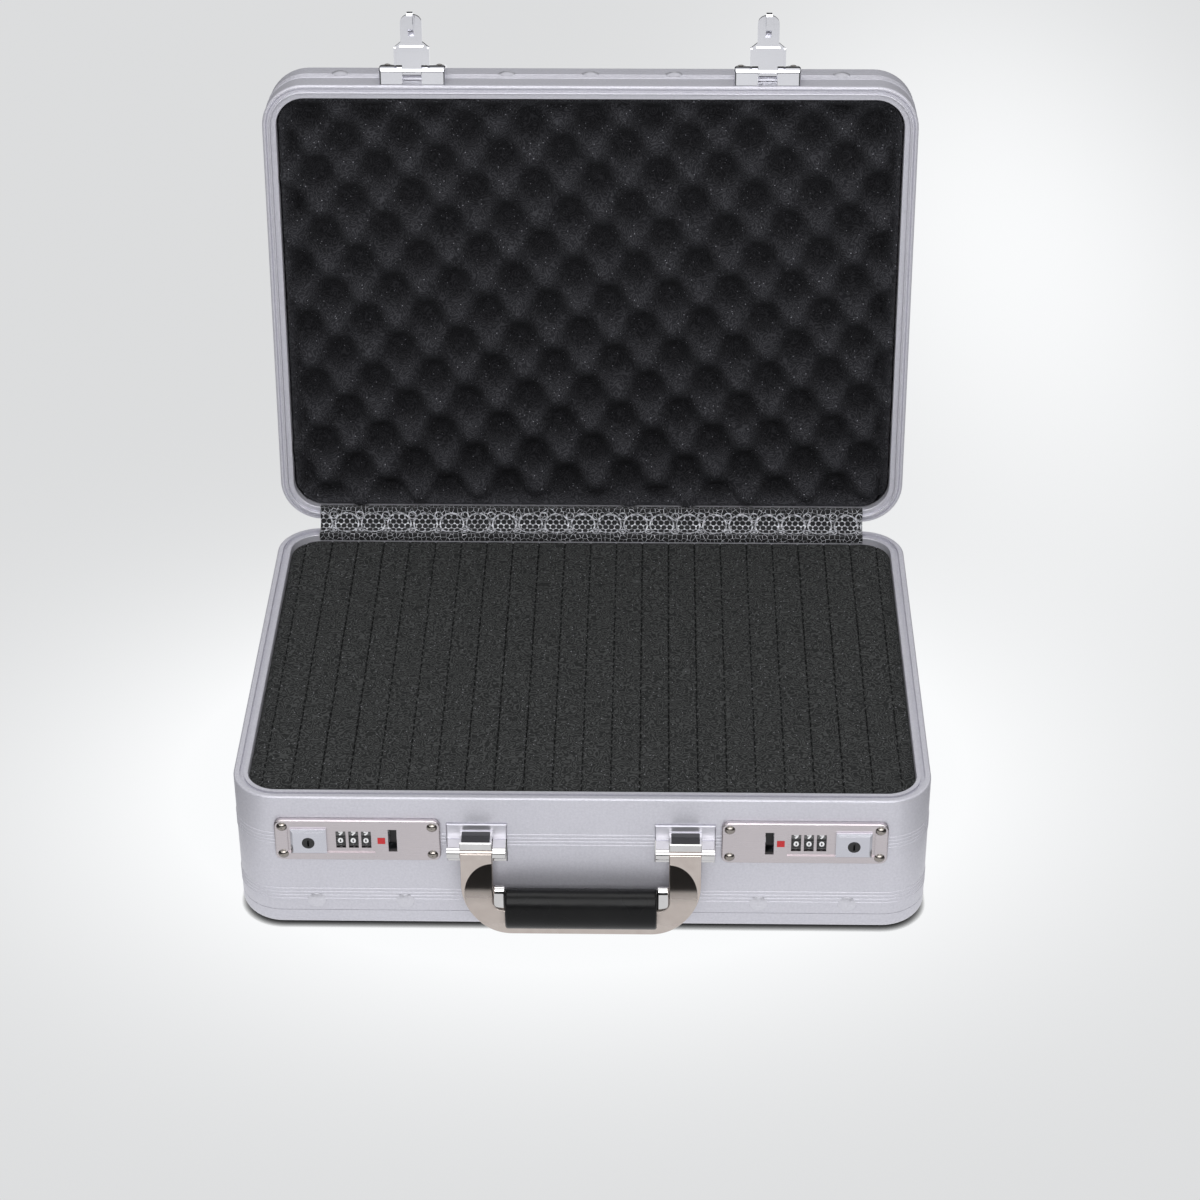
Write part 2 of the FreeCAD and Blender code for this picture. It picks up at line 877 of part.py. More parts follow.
def hasp_bracket():
    z0 = base_height + bracket_start
    flat_z = base_height + bracket_flat_end
    end_z = base_height + bracket_end
    top_y = front_y - bracket_front_height
    rear_top_y = front_y - bracket_rear_height
    half = bracket_width / 2
    section = [
        (rib_y, z0),
        (top_y + bracket_round, z0),
        arc_to(top_y + bracket_round, z0 + bracket_round, bracket_round, 225, 180),
        (top_y, flat_z),
        (rear_top_y, end_z - bracket_rear_drop),
        (rear_top_y + bracket_rear_drop, end_z),
        (rib_y, end_z),
    ]
    solid = along_x(section, hasp_x - half, hasp_x + half)
    sides = edges_on(solid, "X", hasp_x - half) + edges_on(solid, "X", hasp_x + half)
    sides = [edge for edge in sides if edge.BoundBox.YMin < rib_y - near]
    sides = [edge for edge in sides if edge.BoundBox.YMax < rib_y - near or edge.BoundBox.YLength > near]
    solid = solid.makeFillet(bracket_side_round, sides)
    half_gap = bracket_gap / 2
    notch_z = base_height + bracket_notch
    cuts = [
        box(hasp_x - half_gap, hasp_x + half_gap, top_y - overrun, front_y, z0 - overrun, notch_z),
        rod_x(hasp_x - half + bracket_side_round, hasp_x + half - bracket_side_round,
              hasp_axis_y, hasp_axis_z, hasp_pin_radius + running_fit),
    ]
    z = base_height + screw_rise
    for x in hasp_screw_places():
        cuts.append(rod_y(rib_y - bracket_front_height, rib_y + overrun, x, z,
                          screw_shank_radius + running_fit))
        cuts.append(rod_y(top_y - overrun, front_y - screw_seat, x, z,
                          screw_head_radius + seat_clear))
    return solid.cut(cuts)


def hasp_screw(x):
    """Pan-head screw through bracket and wall, with its nut spread inside."""
    section = dome(screw_head_radius, screw_seat, screw_head) + [
        (screw_shank_radius, screw_seat),
        (screw_shank_radius, -wall),
        (screw_tail_radius, -wall),
        (screw_tail_radius, -wall - screw_tail),
        (0, -wall - screw_tail),
    ]
    return turned(section, V(x, front_y, base_height + screw_rise), V(0, -1, 0))


def hasp():
    """Spring-backed plate, inner leaf, barrel and the hook fin, in one casting."""
    half_plate = hasp_plate_thickness / 2
    z = hasp_axis_z
    wide = hasp_wide / 2
    narrow = hasp_narrow / 2
    tip_z = z - hasp_tip
    tip_side = narrow - hasp_tip_round
    plate = along_y([
        (hasp_x - wide, z - hasp_wide_start),
        (hasp_x + wide, z - hasp_wide_start),
        (hasp_x + wide, z - hasp_wide_end),
        (hasp_x + narrow, z - hasp_shoulder_end),
        (hasp_x + narrow, tip_z + hasp_tip_round),
        arc_to(hasp_x + tip_side, tip_z + hasp_tip_round, hasp_tip_round, -45, -90),
        (hasp_x - tip_side, tip_z),
        arc_to(hasp_x - tip_side, tip_z + hasp_tip_round, hasp_tip_round, 225, 180),
        (hasp_x - narrow, z - hasp_shoulder_end),
        (hasp_x - wide, z - hasp_wide_end),
    ], hasp_axis_y - half_plate, hasp_axis_y + half_plate)
    pieces = [plate]
    inner_y = hasp_axis_y + half_plate
    for side in (1, -1):
        ends = sorted([hasp_x + side * wide, hasp_x + side * (wide - hasp_turned_edge)])
        pieces.append(box(ends[0], ends[1], inner_y, inner_y + hasp_turned_depth,
                          z - hasp_wide_end, z - hasp_wide_start))
    pieces.append(along_y([
        (hasp_x - leaf_root_width / 2, z),
        (hasp_x + leaf_root_width / 2, z),
        (hasp_x + leaf_end_width / 2, z - hasp_wide_end),
        (hasp_x + leaf_end_width / 2, z - leaf_length),
        (hasp_x - leaf_end_width / 2, z - leaf_length),
        (hasp_x - leaf_end_width / 2, z - hasp_wide_end),
    ], inner_y, inner_y + leaf_depth))
    half_barrel = bracket_gap / 2 - knuckle_gap
    pieces.append(rod_x(hasp_x - half_barrel, hasp_x + half_barrel, hasp_axis_y, z,
                        hasp_barrel_radius))
    pieces.append(hasp_fin(inner_y))
    bore = rod_x(hasp_x - hasp_wide, hasp_x + hasp_wide, hasp_axis_y, z,
                 hasp_pin_radius + running_fit)
    return joined(pieces).cut(bore)


def hasp_fin(inner_y):
    """Hook that enters the lock, with the notch that the catch drops into."""
    z = hasp_axis_z
    fin = along_x([
        (inner_y, z - fin_root),
        (inner_y + fin_face_depth, z - fin_face_start),
        (inner_y + fin_throat_depth, z - fin_throat),
        (inner_y + fin_depth, z - fin_near),
        (inner_y + fin_depth, z - fin_tip + fin_tip_chamfer),
        (inner_y + fin_depth - fin_tip_chamfer, z - fin_tip),
        (inner_y + fin_back_depth, z - fin_tip),
        (inner_y, z - fin_back_start),
    ], hasp_x - fin_thickness / 2, hasp_x + fin_thickness / 2)
    side = hasp_x - fin_thickness / 2
    notch = box(side - overrun, side + notch_depth,
                bar_front_y - notch_margin, bar_back_y + notch_margin,
                nose_top_z - nose_length - notch_margin, nose_top_z + notch_margin)
    return fin.cut(notch)


def build_hasps():
    save_pair("hasp_bracket", lid_pose(hasp_bracket()))
    save_pair("hasp", hasp_pose(hasp()))
    pin_half = bracket_width / 2 - bracket_side_round - running_fit
    pin = rod_x(hasp_x - pin_half, hasp_x + pin_half, hasp_axis_y, hasp_axis_z, hasp_pin_radius)
    save("hasp_pins", lid_pose(Part.Compound([pin, mirrored(pin)])))
    screws = []
    for x in hasp_screw_places():
        screws += [hasp_screw(x), mirrored(hasp_screw(x))]
    save("hasp_screws", lid_pose(Part.Compound(screws)))


# Locks
def housing_span():
    start = lock_inner + housing_start
    return start, start + housing_width


def dial_centres():
    return [hasp_x + dial_first + number * dial_pitch for number in range(3)]


def lock_rivet_places():
    left = lock_inner + lock_rivet_inset
    right = lock_inner + lock_width - lock_rivet_inset
    half = lock_height / 2 - lock_rivet_inset
    return [(x, z) for x in (left, right) for z in (lock_z - half, lock_z + half)]


def lock_openings():
    """Cut-outs in the front wall for the lock housings, and the rivet and screw holes."""
    inner, outer = housing_span()
    half = housing_height / 2 + opening_clear
    y0 = front_y - rib_proud - overrun
    y1 = front_y + wall + overrun
    cuts = []
    for side in (1, -1):
        ends = sorted([side * (inner - opening_clear), side * (outer + opening_clear)])
        cuts.append(box(ends[0], ends[1], y0, y1, lock_z - half, lock_z + half))
        for x, z in lock_rivet_places():
            cuts.append(rod_y(y0, y1, side * x, z, lock_rivet_shank + running_fit))
        for x, z in handle_screw_places():
            cuts.append(rod_y(y0, y1, side * x, z, handle_screw_radius + running_fit))
    return cuts


def recess_ends():
    start = hasp_x + recess_start
    return start, start + recess_width


def slide_ends():
    start = hasp_x + slide_start
    return start, start + slide_width


def lock_plate():
    """Cast face plate with its recess, dial windows, slide slot and hook slot."""
    x0 = lock_inner
    x1 = lock_inner + lock_width
    half = lock_height / 2
    z0 = lock_z - half
    z1 = lock_z + half
    r = lock_corner
    solid = along_y([
        (x0 + r, z0),
        (x1 - r, z0),
        arc_to(x1 - r, z0 + r, r, -45, 0),
        (x1, z1 - r),
        arc_to(x1 - r, z1 - r, r, 45, 90),
        (x0 + r, z1),
        arc_to(x0 + r, z1 - r, r, 135, 180),
        (x0, z0 + r),
        arc_to(x0 + r, z0 + r, r, 225, 270),
    ], lock_face_y, rib_y)
    solid = solid.makeFillet(lock_bevel, edges_on(solid, "Y", lock_face_y))
    r0, r1 = recess_ends()
    s0, s1 = slide_ends()
    tall = recess_height / 2
    front = lock_face_y - overrun
    back = rib_y + overrun
    cuts = [
        box(r0, r1, front, floor_y, lock_z - tall, lock_z + tall),
        box(r0, r1, rib_y - lock_pocket, back, lock_z - tall, lock_z + tall),
    ]
    for x in dial_centres():
        cuts.append(box(x - window_width / 2, x + window_width / 2, front, back,
                        lock_z - window_height / 2, lock_z + window_height / 2))
    neck_half = neck_height / 2 + guide_clear
    cuts.append(box(s0 + neck_inset - slide_in_travel - guide_clear,
                    s1 - neck_inset + slide_out_travel + guide_clear,
                    front, back, lock_z - neck_half, lock_z + neck_half))
    slot_half = slot_height / 2
    slot_z = lock_z + slot_rise
    cuts.append(box(hasp_x - slot_width / 2, hasp_x + slot_width / 2, front, back,
                    slot_z - slot_half, slot_z + slot_half))
    x = hasp_x + indicator_place
    hole = indicator_size / 2 + running_fit
    cuts.append(box(x - hole, x + hole, front, back, lock_z - hole, lock_z + hole))
    for x, z in lock_rivet_places():
        cuts.append(rod_y(front, back, x, z, lock_rivet_shank + running_fit))
    return solid.cut(cuts)


def lock_housing():
    """Tray behind the plate that carries the dial shaft, the springs and the ejector."""
    x0, x1 = housing_span()
    half = housing_height / 2
    t = housing_wall
    back = housing_back_y + t
    tray = box(x0, x1, rib_y, back, lock_z - half, lock_z + half)
    tray = tray.cut(box(x0 + t, x1 - t, rib_y - overrun, housing_back_y,
                        lock_z - half + t, lock_z + half - t))
    pieces = [tray]
    centres = dial_centres()
    wall_gap = (dial_pitch - dial_width) / 2
    ear_half = dial_radius / 2
    for x in (centres[0] - dial_width / 2 - wall_gap, centres[-1] + dial_width / 2 + wall_gap):
        ends = sorted([x - t / 2, x + t / 2])
        pieces.append(box(ends[0], ends[1], bar_back_y + guide_clear, back,
                          lock_z - ear_half, lock_z + ear_half))
    slot_half = slot_width / 2
    guide_z = ejector_spot()
    for side in (1, -1):
        ends = sorted([hasp_x + side * slot_half, hasp_x + side * (slot_half + guide_thickness)])
        pieces.append(box(ends[0], ends[1], ejector_y + guide_clear, back,
                          guide_z - ejector_height / 2, guide_z + ejector_height / 2))
    post_x, post_y, post_z = slide_spring_start()
    pieces.append(box(post_x - spring_post, post_x - spring_touch, bar_back_y + guide_clear,
                      back, post_z - tab_height / 2, post_z + tab_height / 2))
    shaft = rod_x(x0, x1, dial_y, lock_z, shaft_radius + running_fit)
    return joined(pieces).cut(shaft)


def ejector_spot():
    """Height of the ejector's centre, level with the hook when it is home."""
    return hasp_axis_z - (fin_near + fin_tip) / 2


def dial(x):
    """Number wheel with a shallow notch between each two of its faces."""
    body = rod_x(x - dial_width / 2, x + dial_width / 2, dial_y, lock_z, dial_radius)
    reach = dial_radius + dial_notch_radius - dial_notch_depth
    cuts = [rod_x(x - dial_width, x + dial_width, dial_y, lock_z, shaft_radius + running_fit)]
    for number in range(dial_faces):
        angle = (number + 0.5) * 2 * math.pi / dial_faces
        cuts.append(rod_x(x - dial_width, x + dial_width, dial_y + reach * math.cos(angle),
                          lock_z + reach * math.sin(angle), dial_notch_radius))
    return body.cut(cuts)


def slide_button():
    """Thumb block in the recess, with the neck that reaches through the plate."""
    s0, s1 = slide_ends()
    half = slide_height / 2
    front = lock_face_y - slide_proud
    back = floor_y - slide_lift
    block = box(s0, s1, front, back, lock_z - half, lock_z + half)
    block = block.makeChamfer(slide_bevel, edges_on(block, "Y", front))
    neck_half = neck_height / 2
    neck = box(s0 + neck_inset, s1 - neck_inset, back, bar_front_y,
               lock_z - neck_half, lock_z + neck_half)
    bore = rod_y(front - overrun, bar_front_y + overrun, (s0 + s1) / 2, lock_z,
                 key_radius + running_fit)
    return joined([block, neck]).cut(bore)


def catch_bar():
    """Flat bar behind the plate, from the slide over the dials to the nose at the hook slot."""
    s0, s1 = slide_ends()
    y0 = bar_front_y
    y1 = bar_back_y
    end = housing_span()[1] - housing_wall - slide_out_travel - guide_clear
    arm_x0 = hasp_x - slot_width / 2 - bar_arm_width
    nose_x1 = hasp_x - fin_thickness / 2 - nose_clear
    arm_x1 = nose_x1 - nose_clear
    bar_z0 = bar_top_z - bar_height
    tab_z0 = lock_z - (bar_top_z - lock_z)
    pieces = [
        box(arm_x0, end, y0, y1, bar_z0, bar_top_z),
        box(s0 + bar_plate_inset, end, y0, y1, tab_z0, bar_top_z),
        box(arm_x0, arm_x1, y0, y1, nose_top_z - nose_length, bar_top_z),
        box(arm_x0, nose_x1, y0, y1, nose_top_z - nose_length, nose_top_z),
        box(s0 + bar_plate_inset, s0 + bar_plate_inset + tab_width, y0, y1 + tab_depth,
            tab_z0, tab_z0 + tab_height),
    ]
    bore = rod_y(y0 - overrun, y1 + overrun, (s0 + s1) / 2, lock_z, key_radius + running_fit)
    return joined(pieces).cut(bore)


def key_barrel():
    s0, s1 = slide_ends()
    x = (s0 + s1) / 2
    front = lock_face_y - slide_proud - key_proud
    body = rod_y(front, front + key_length, x, lock_z, key_radius)
    slot = box(x - key_slot_width / 2, x + key_slot_width / 2, front - overrun,
               front + key_slot_depth, lock_z - key_slot_height / 2, lock_z + key_slot_height / 2)
    return body.cut(slot)


def lock_rivet(x, z):
    grip = lock_thickness + rib_proud
    depth = wall
    section = dome(lock_rivet_radius, grip, lock_rivet_dome) + [
        (lock_rivet_shank, grip),
        (lock_rivet_shank, -depth),
        (lock_rivet_tail_radius, -depth),
        (lock_rivet_tail_radius, -depth - lock_rivet_tail),
        (0, -depth - lock_rivet_tail),
    ]
    return turned(section, V(x, front_y, z), V(0, -1, 0))


def coil(start, direction, length, radius, turns):
    """Round-wire compression spring, open at both ends."""
    inset = spring_wire_radius
    run = length - 2 * inset
    path = Part.makeHelix(run / turns, run, radius)
    ring_face = Part.Wire(Part.makeCircle(spring_wire_radius, V(radius, 0, 0), V(0, 1, 0)))
    solid = Part.Wire(path).makePipeShell([ring_face], True, True)
    solid.translate(V(0, 0, inset))
    solid.Placement = FreeCAD.Placement(
        start, FreeCAD.Rotation(V(0, 0, 1), direction)).multiply(solid.Placement)
    return solid


def slide_spring_start():
    """End of the slide's spring that bears on the housing's post."""
    s0, s1 = slide_ends()
    tab_z = lock_z - (bar_top_z - lock_z) + tab_height / 2
    x = s0 + bar_plate_inset - spring_touch - spring_length
    return x, bar_back_y + tab_depth / 2, tab_z


def build_locks():
    save_pair("lock_plate", lock_plate())
    save_pair("lock_housing", lock_housing())
    save_pair("slide_button", slide_button())
    save_pair("catch_bar", catch_bar())
    save_pair("key_barrel", key_barrel())
    for number, x in enumerate(dial_centres()):
        save_pair("dial_" + str(number + 1), dial(x))
    centres = dial_centres()
    end_gap = (dial_pitch - dial_width) / 2 + housing_wall
    shaft_ends = (centres[0] - dial_width / 2 - end_gap, centres[-1] + dial_width / 2 + end_gap)
    save_pair("dial_shaft", rod_x(shaft_ends[0], shaft_ends[1], dial_y, lock_z, shaft_radius))
    x = hasp_x + indicator_place
    half = indicator_size / 2
    indicator = box(x - half, x + half, lock_face_y - indicator_proud, rib_y,
                    lock_z - half, lock_z + half)
    save("lock_indicators", Part.Compound([indicator, mirrored(indicator)]))
    x = hasp_x
    z = ejector_spot()
    half = ejector_height / 2
    ejector_back = ejector_y + ejector_thickness
    save_pair("ejector", box(x - ejector_width / 2, x + ejector_width / 2, ejector_y,
                             ejector_back, z - half, z + half))
    save_pair("ejector_spring", coil(
        V(x, ejector_back + spring_touch, z), V(0, 1, 0),
        housing_back_y - ejector_back - 2 * spring_touch, ejector_coil_radius,
        ejector_coil_turns))
    x, y, z = slide_spring_start()
    save_pair("slide_spring", coil(V(x, y, z), V(1, 0, 0), spring_length,
                                   slide_coil_radius, slide_coil_turns))
    rivets = []
    for x, z in lock_rivet_places():
        rivets += [lock_rivet(x, z), mirrored(lock_rivet(x, z))]
    save("lock_rivets", Part.Compound(rivets))


# Handle
def handle_screw_places():
    half = bracket_plate_width / 2 - handle_screw_inset
    z = base_height - handle_screw_drop
    return [(handle_bracket_x - half, z), (handle_bracket_x + half, z)]


def arm_ends():
    return arm_outer - arm_width, arm_outer


def handle_bracket():
    """Wall plate, the cap that stops the lifted handle, and the two lugs for its pin."""
    x0 = handle_bracket_x - bracket_plate_width / 2
    x1 = handle_bracket_x + bracket_plate_width / 2
    z1 = base_height - bracket_plate_drop
    z0 = z1 - bracket_plate_height
    plate_y = rib_y - bracket_plate_thickness
    plate = box(x0, x1, plate_y, rib_y, z0, z1)
    plate = plate.makeChamfer(bracket_plate_bevel, edges_on(plate, "Y", plate_y))
    a0, a1 = arm_ends()
    cap_z1 = base_height - cap_drop
    cap_y = front_y - cap_reach
    cap = box(a0, a1, cap_y, plate_y, cap_z1 - cap_height, cap_z1)
    cap = cap.makeFillet(cap_round, edges_on(cap, "Y", cap_y))
    pieces = [plate, cap]
    for inner in (a0 - arm_side_gap - lug_width, a1 + arm_side_gap):
        pieces.append(rod_x(inner, inner + lug_width, handle_axis_y, handle_axis_z,
                            handle_barrel_radius))
        pieces.append(along_x([
            (plate_y, base_height - lug_top_drop),
            (handle_axis_y, handle_axis_z + handle_barrel_radius),
            (handle_axis_y, handle_axis_z - handle_barrel_radius),
            (plate_y, base_height - lug_foot_drop),
        ], inner, inner + lug_width))
    solid = joined(pieces)
    cuts = [rod_x(x0 - overrun, x1 + overrun, handle_axis_y, handle_axis_z,
                  handle_pin_radius + running_fit)]
    for x, z in handle_screw_places():
        cuts.append(rod_y(plate_y + bracket_plate_thickness / 2, rib_y + overrun, x, z,
                          handle_screw_radius + running_fit))
    return solid.cut(cuts)


def handle_frame():
    """Flat U-shaped casting: two arms, the oval corners and the bar inside the grip."""
    a0, a1 = arm_ends()
    bottom = base_height - handle_drop
    top = handle_axis_z + arm_rise
    bar_top = bottom + bar_tall
    small = corner_small_radius
    large = (corner_wide**2 + (corner_tall - small)**2 - small**2) / (2 * (corner_wide - small))
    small_centre = (a1 - corner_wide, bottom + small)
    large_centre = (a1 - large, bottom + corner_tall)
    meet = math.degrees(math.atan2(small_centre[1] - large_centre[1],
                                   small_centre[0] - large_centre[0]))
    half = along_y([
        (0, bottom),
        small_centre[:1] + (bottom,),
        arc_to(small_centre[0], small_centre[1], small, (meet - 90) / 2, meet),
        arc_to(large_centre[0], large_centre[1], large, meet / 2, 0),
        (a1, top),
        (a0, top),
        (a0, bar_top + inner_corner),
        arc_to(a0 - inner_corner, bar_top + inner_corner, inner_corner, -45, -90),
        (0, bar_top),
    ], front_y - frame_front, front_y - frame_back)
    solid = joined([half, mirrored(half)])
    rim = edges_on(solid, "Y", front_y - frame_front) + edges_on(solid, "Y", front_y - frame_back)
    solid = solid.makeFillet(frame_round, rim)
    for x0, x1 in ((a0, a1), (-a1, -a0)):
        solid = solid.fuse(rod_x(x0, x1, handle_axis_y, handle_axis_z, handle_barrel_radius))
    bore = rod_x(-half_width, half_width, handle_axis_y, handle_axis_z,
                 handle_pin_radius + running_fit)
    return solid.removeSplitter().cut(bore)


def oval_bar(x0, x1, out, drop, half_deep, half_tall, edge_round):
    """Bar along X with an oval section and rounded ends, before the handle's frame."""
    centre = V(x0, front_y - out, base_height - drop)
    tall = Part.Ellipse(centre + V(0, 0, half_tall), centre + V(0, half_deep, 0), centre)
    face = Part.Face(Part.Wire(tall.toShape()))
    solid = face.extrude(V(x1 - x0, 0, 0))
    return solid.makeFillet(edge_round, edges_on(solid, "X", x0) + edges_on(solid, "X", x1))


def build_handle():
    save_pair("handle_bracket", handle_bracket())
    frame = handle_frame()
    save("handle_frame", frame)
    grip = oval_bar(-grip_half_length, grip_half_length, grip_centre_out, grip_centre_drop,
                    grip_half_deep, grip_half_tall, grip_round)
    save("grip", grip.cut(frame))
    a0, a1 = arm_ends()
    collar = oval_bar(grip_half_length, a0, collar_centre_out, collar_centre_drop,
                      collar_half_deep, collar_half_tall, collar_round)
    collar = collar.cut(frame)
    save("grip_end_caps", Part.Compound([collar, mirrored(collar)]))
    pin = rod_x(a0 - arm_side_gap - lug_width, a1 + arm_side_gap + lug_width,
                handle_axis_y, handle_axis_z, handle_pin_radius)
    save("handle_pins", Part.Compound([pin, mirrored(pin)]))
    screws = []
    for x, z in handle_screw_places():
        section = [
            (0, rib_proud + bracket_plate_thickness / 2),
            (handle_screw_radius, rib_proud + bracket_plate_thickness / 2),
            (handle_screw_radius, -wall),
            (handle_screw_head_radius, -wall),
            (handle_screw_head_radius, -wall - handle_screw_head),
            (0, -wall - handle_screw_head),
        ]
        screw = turned(section, V(x, front_y, z), V(0, -1, 0))
        screws += [screw, mirrored(screw)]
    save("handle_screws", Part.Compound(screws))


os.makedirs("parts", exist_ok=True)
build_shells()
build_hinge()
build_strip()
build_foams()
build_hasps()
build_locks()
build_handle()
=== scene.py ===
import math

import bmesh
import bpy
from mathutils import Matrix, Vector


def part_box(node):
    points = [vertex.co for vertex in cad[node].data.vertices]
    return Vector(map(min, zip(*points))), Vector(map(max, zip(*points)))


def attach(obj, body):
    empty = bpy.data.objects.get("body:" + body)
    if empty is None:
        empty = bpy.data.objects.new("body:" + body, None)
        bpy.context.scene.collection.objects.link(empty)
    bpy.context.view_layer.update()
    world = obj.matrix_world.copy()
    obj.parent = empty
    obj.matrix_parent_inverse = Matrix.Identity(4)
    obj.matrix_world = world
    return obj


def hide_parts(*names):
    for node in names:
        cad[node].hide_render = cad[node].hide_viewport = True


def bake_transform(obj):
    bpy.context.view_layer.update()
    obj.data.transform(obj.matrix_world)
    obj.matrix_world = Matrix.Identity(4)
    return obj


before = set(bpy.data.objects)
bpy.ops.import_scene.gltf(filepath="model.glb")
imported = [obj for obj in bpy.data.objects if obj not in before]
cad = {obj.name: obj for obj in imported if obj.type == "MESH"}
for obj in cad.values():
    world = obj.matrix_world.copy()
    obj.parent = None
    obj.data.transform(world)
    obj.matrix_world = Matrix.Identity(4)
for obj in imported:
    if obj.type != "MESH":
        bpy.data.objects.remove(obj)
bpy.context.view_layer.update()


# The photograph's camera
# A short telephoto from in front of the case and above it. Its place, turn and lens
# are fitted to the case's edges in the picture.
photo_side = 1200
focal_pixels = 2987.16
sensor = 36.0
camera_place = Vector((0.04554, -1.70696, 1.27651))
camera_right = Vector((0.99982687, 0.01809442, -0.00433819))
camera_up = Vector((-0.00632595, 0.54980557, 0.83526871))

photo_camera = bpy.data.objects.new("photo_camera", bpy.data.cameras.new("photo_camera"))
photo_camera.data.sensor_width = sensor
photo_camera.data.lens = focal_pixels / photo_side * sensor
photo_camera.data.clip_start = 0.05
photo_camera.data.clip_end = 60
camera_back = camera_right.cross(camera_up)
camera_turn = Matrix((camera_right, camera_up, camera_back)).transposed()
photo_camera.matrix_world = Matrix.Translation(camera_place) @ camera_turn.to_4x4()
bpy.context.collection.objects.link(photo_camera)
bpy.context.scene.camera = photo_camera
bpy.context.scene.view_settings.view_transform = "Standard"


# The studio
# A white table in a room that is dark at its foot and bright above, under a soft lamp in
# front and one overhead. A narrow bright band in front lights the grip. The table's glow has
# painted pools of light round the case and at its back right, and a painted contact shadow, a
# thin dark line under the case.
def linear(code):
    """Turns an sRGB colour such as "C4C4CC" into the linear colour that a shader takes."""
    channels = [int(code[i:i + 2], 16) / 255 for i in (0, 2, 4)]
    return [c / 12.92 if c <= 0.04045 else ((c + 0.055) / 1.055) ** 2.4 for c in channels] + [1]


def set_inputs(tree, node, inputs):
    """Sets a node's inputs: each is a value, a socket, or a node, whose first output it takes."""
    for name, value in inputs.items():
        if isinstance(value, bpy.types.Node):
            value = value.outputs[0]
        if isinstance(value, bpy.types.NodeSocket):
            tree.links.new(value, node.inputs[name])
        else:
            node.inputs[name].default_value = value


def add_node(tree, kind, settings=None, inputs=None):
    """Adds a node. settings are its properties; inputs are as in set_inputs."""
    made = tree.nodes.new(kind)
    for name, value in (settings or {}).items():
        setattr(made, name, value)
    set_inputs(tree, made, inputs or {})
    return made


def by_ray(tree, seen, mirrored, thrown):
    """A brightness that differs between what the camera sees, what glossy pieces mirror and
    the light thrown on the case."""
    rays = add_node(tree, "ShaderNodeLightPath").outputs
    shiny = add_node(tree, "ShaderNodeMath", {"operation": "MAXIMUM"},
                     {0: rays["Is Glossy Ray"], 1: rays["Is Transmission Ray"]})
    level = add_node(tree, "ShaderNodeMix", {"data_type": "FLOAT"},
                     {"Factor": shiny, 2: thrown, 3: mirrored})
    return add_node(tree, "ShaderNodeMix", {"data_type": "FLOAT"},
                    {"Factor": rays["Is Camera Ray"], 2: level, 3: seen})


def area_lamp(name, place, target, size, watts):
    """A rectangular soft lamp that faces a target."""
    lamp = bpy.data.objects.new(name, bpy.data.lights.new(name, "AREA"))
    lamp.data.shape = "RECTANGLE"
    lamp.data.size, lamp.data.size_y = size
    lamp.data.energy = watts
    lamp.location = place
    lamp.rotation_euler = (Vector(target) - Vector(place)).to_track_quat("-Z", "Y").to_euler()
    bpy.context.collection.objects.link(lamp)


area_lamp("front_softbox", (0.2, -2.2, 1.5), (0, 0, 0.15), (2.2, 1.1), 22)
area_lamp("overhead_softbox", (-0.2, -0.5, 2.6), (0, 0, 0.1), (1.8, 1.2), 17)

cool_white = linear("FDFEFF")
backdrop_tone = 0.728
room_light = 0.5
band_height = 0.36
band_half_height = 0.045
studio = bpy.data.worlds.new("studio")
bpy.context.scene.world = studio
studio.use_nodes = True
room = studio.node_tree
room.nodes.clear()
heading = add_node(room, "ShaderNodeTexCoord").outputs["Generated"]
parts = add_node(room, "ShaderNodeSeparateXYZ", inputs={0: heading})
ceiling = add_node(room, "ShaderNodeMapRange", {"interpolation_type": "SMOOTHSTEP"}, {
    "Value": parts.outputs[2], "From Min": 0.16, "From Max": 0.5, "To Min": 0.03, "To Max": 0.92})
sideways = add_node(room, "ShaderNodeMapRange", inputs={
    "Value": parts.outputs[0], "From Min": -1.0, "From Max": 1.0, "To Min": 0.8, "To Max": 1.1})
upper = add_node(room, "ShaderNodeMath", {"operation": "MULTIPLY"}, {0: ceiling, 1: sideways})
from_band = add_node(room, "ShaderNodeMath", {"operation": "COMPARE"},
                     {0: parts.outputs[2], 1: band_height, 2: band_half_height})
in_front = add_node(room, "ShaderNodeMapRange", {"interpolation_type": "SMOOTHSTEP"}, {
    "Value": parts.outputs[1], "From Min": -0.5, "From Max": -0.8, "To Max": 5.0})
band = add_node(room, "ShaderNodeMath", {"operation": "MULTIPLY"}, {0: from_band, 1: in_front})
mirrored = add_node(room, "ShaderNodeMath", {"operation": "ADD"}, {0: upper, 1: band})
backing = add_node(room, "ShaderNodeBackground", inputs={
    "Color": cool_white, "Strength": by_ray(room, backdrop_tone, mirrored, room_light)})
add_node(room, "ShaderNodeOutputWorld", inputs={"Surface": backing})

# Each painted pool of light is given by its centre, its half widths and how much it adds.
light_pools = (((-0.025, -0.001), (0.313, 0.241), 0.521), ((0.378, 0.846), (0.247, 0.665), 0.24))
brightest = 0.98
shadow_power = 2.2
table_light = 0.85
lit_half_width = 0.28
lit_widening = 0.14
table_half = 9
table_drop = 0.0003
corners = [(x * table_half, y * table_half, 0) for x, y in ((-1, -1), (1, -1), (1, 1), (-1, 1))]
table_mesh = bpy.data.meshes.new("table")
table_mesh.from_pydata(corners, [], [(0, 1, 2, 3)])
table = bpy.data.objects.new("table", table_mesh)
table.location = (0, 0, -table_drop)
bpy.context.collection.objects.link(table)
paper = bpy.data.materials.new("white_table")
paper.use_nodes = True
tree = paper.node_tree
tree.nodes.clear()
place = add_node(tree, "ShaderNodeTexCoord").outputs["Object"]
pools = []
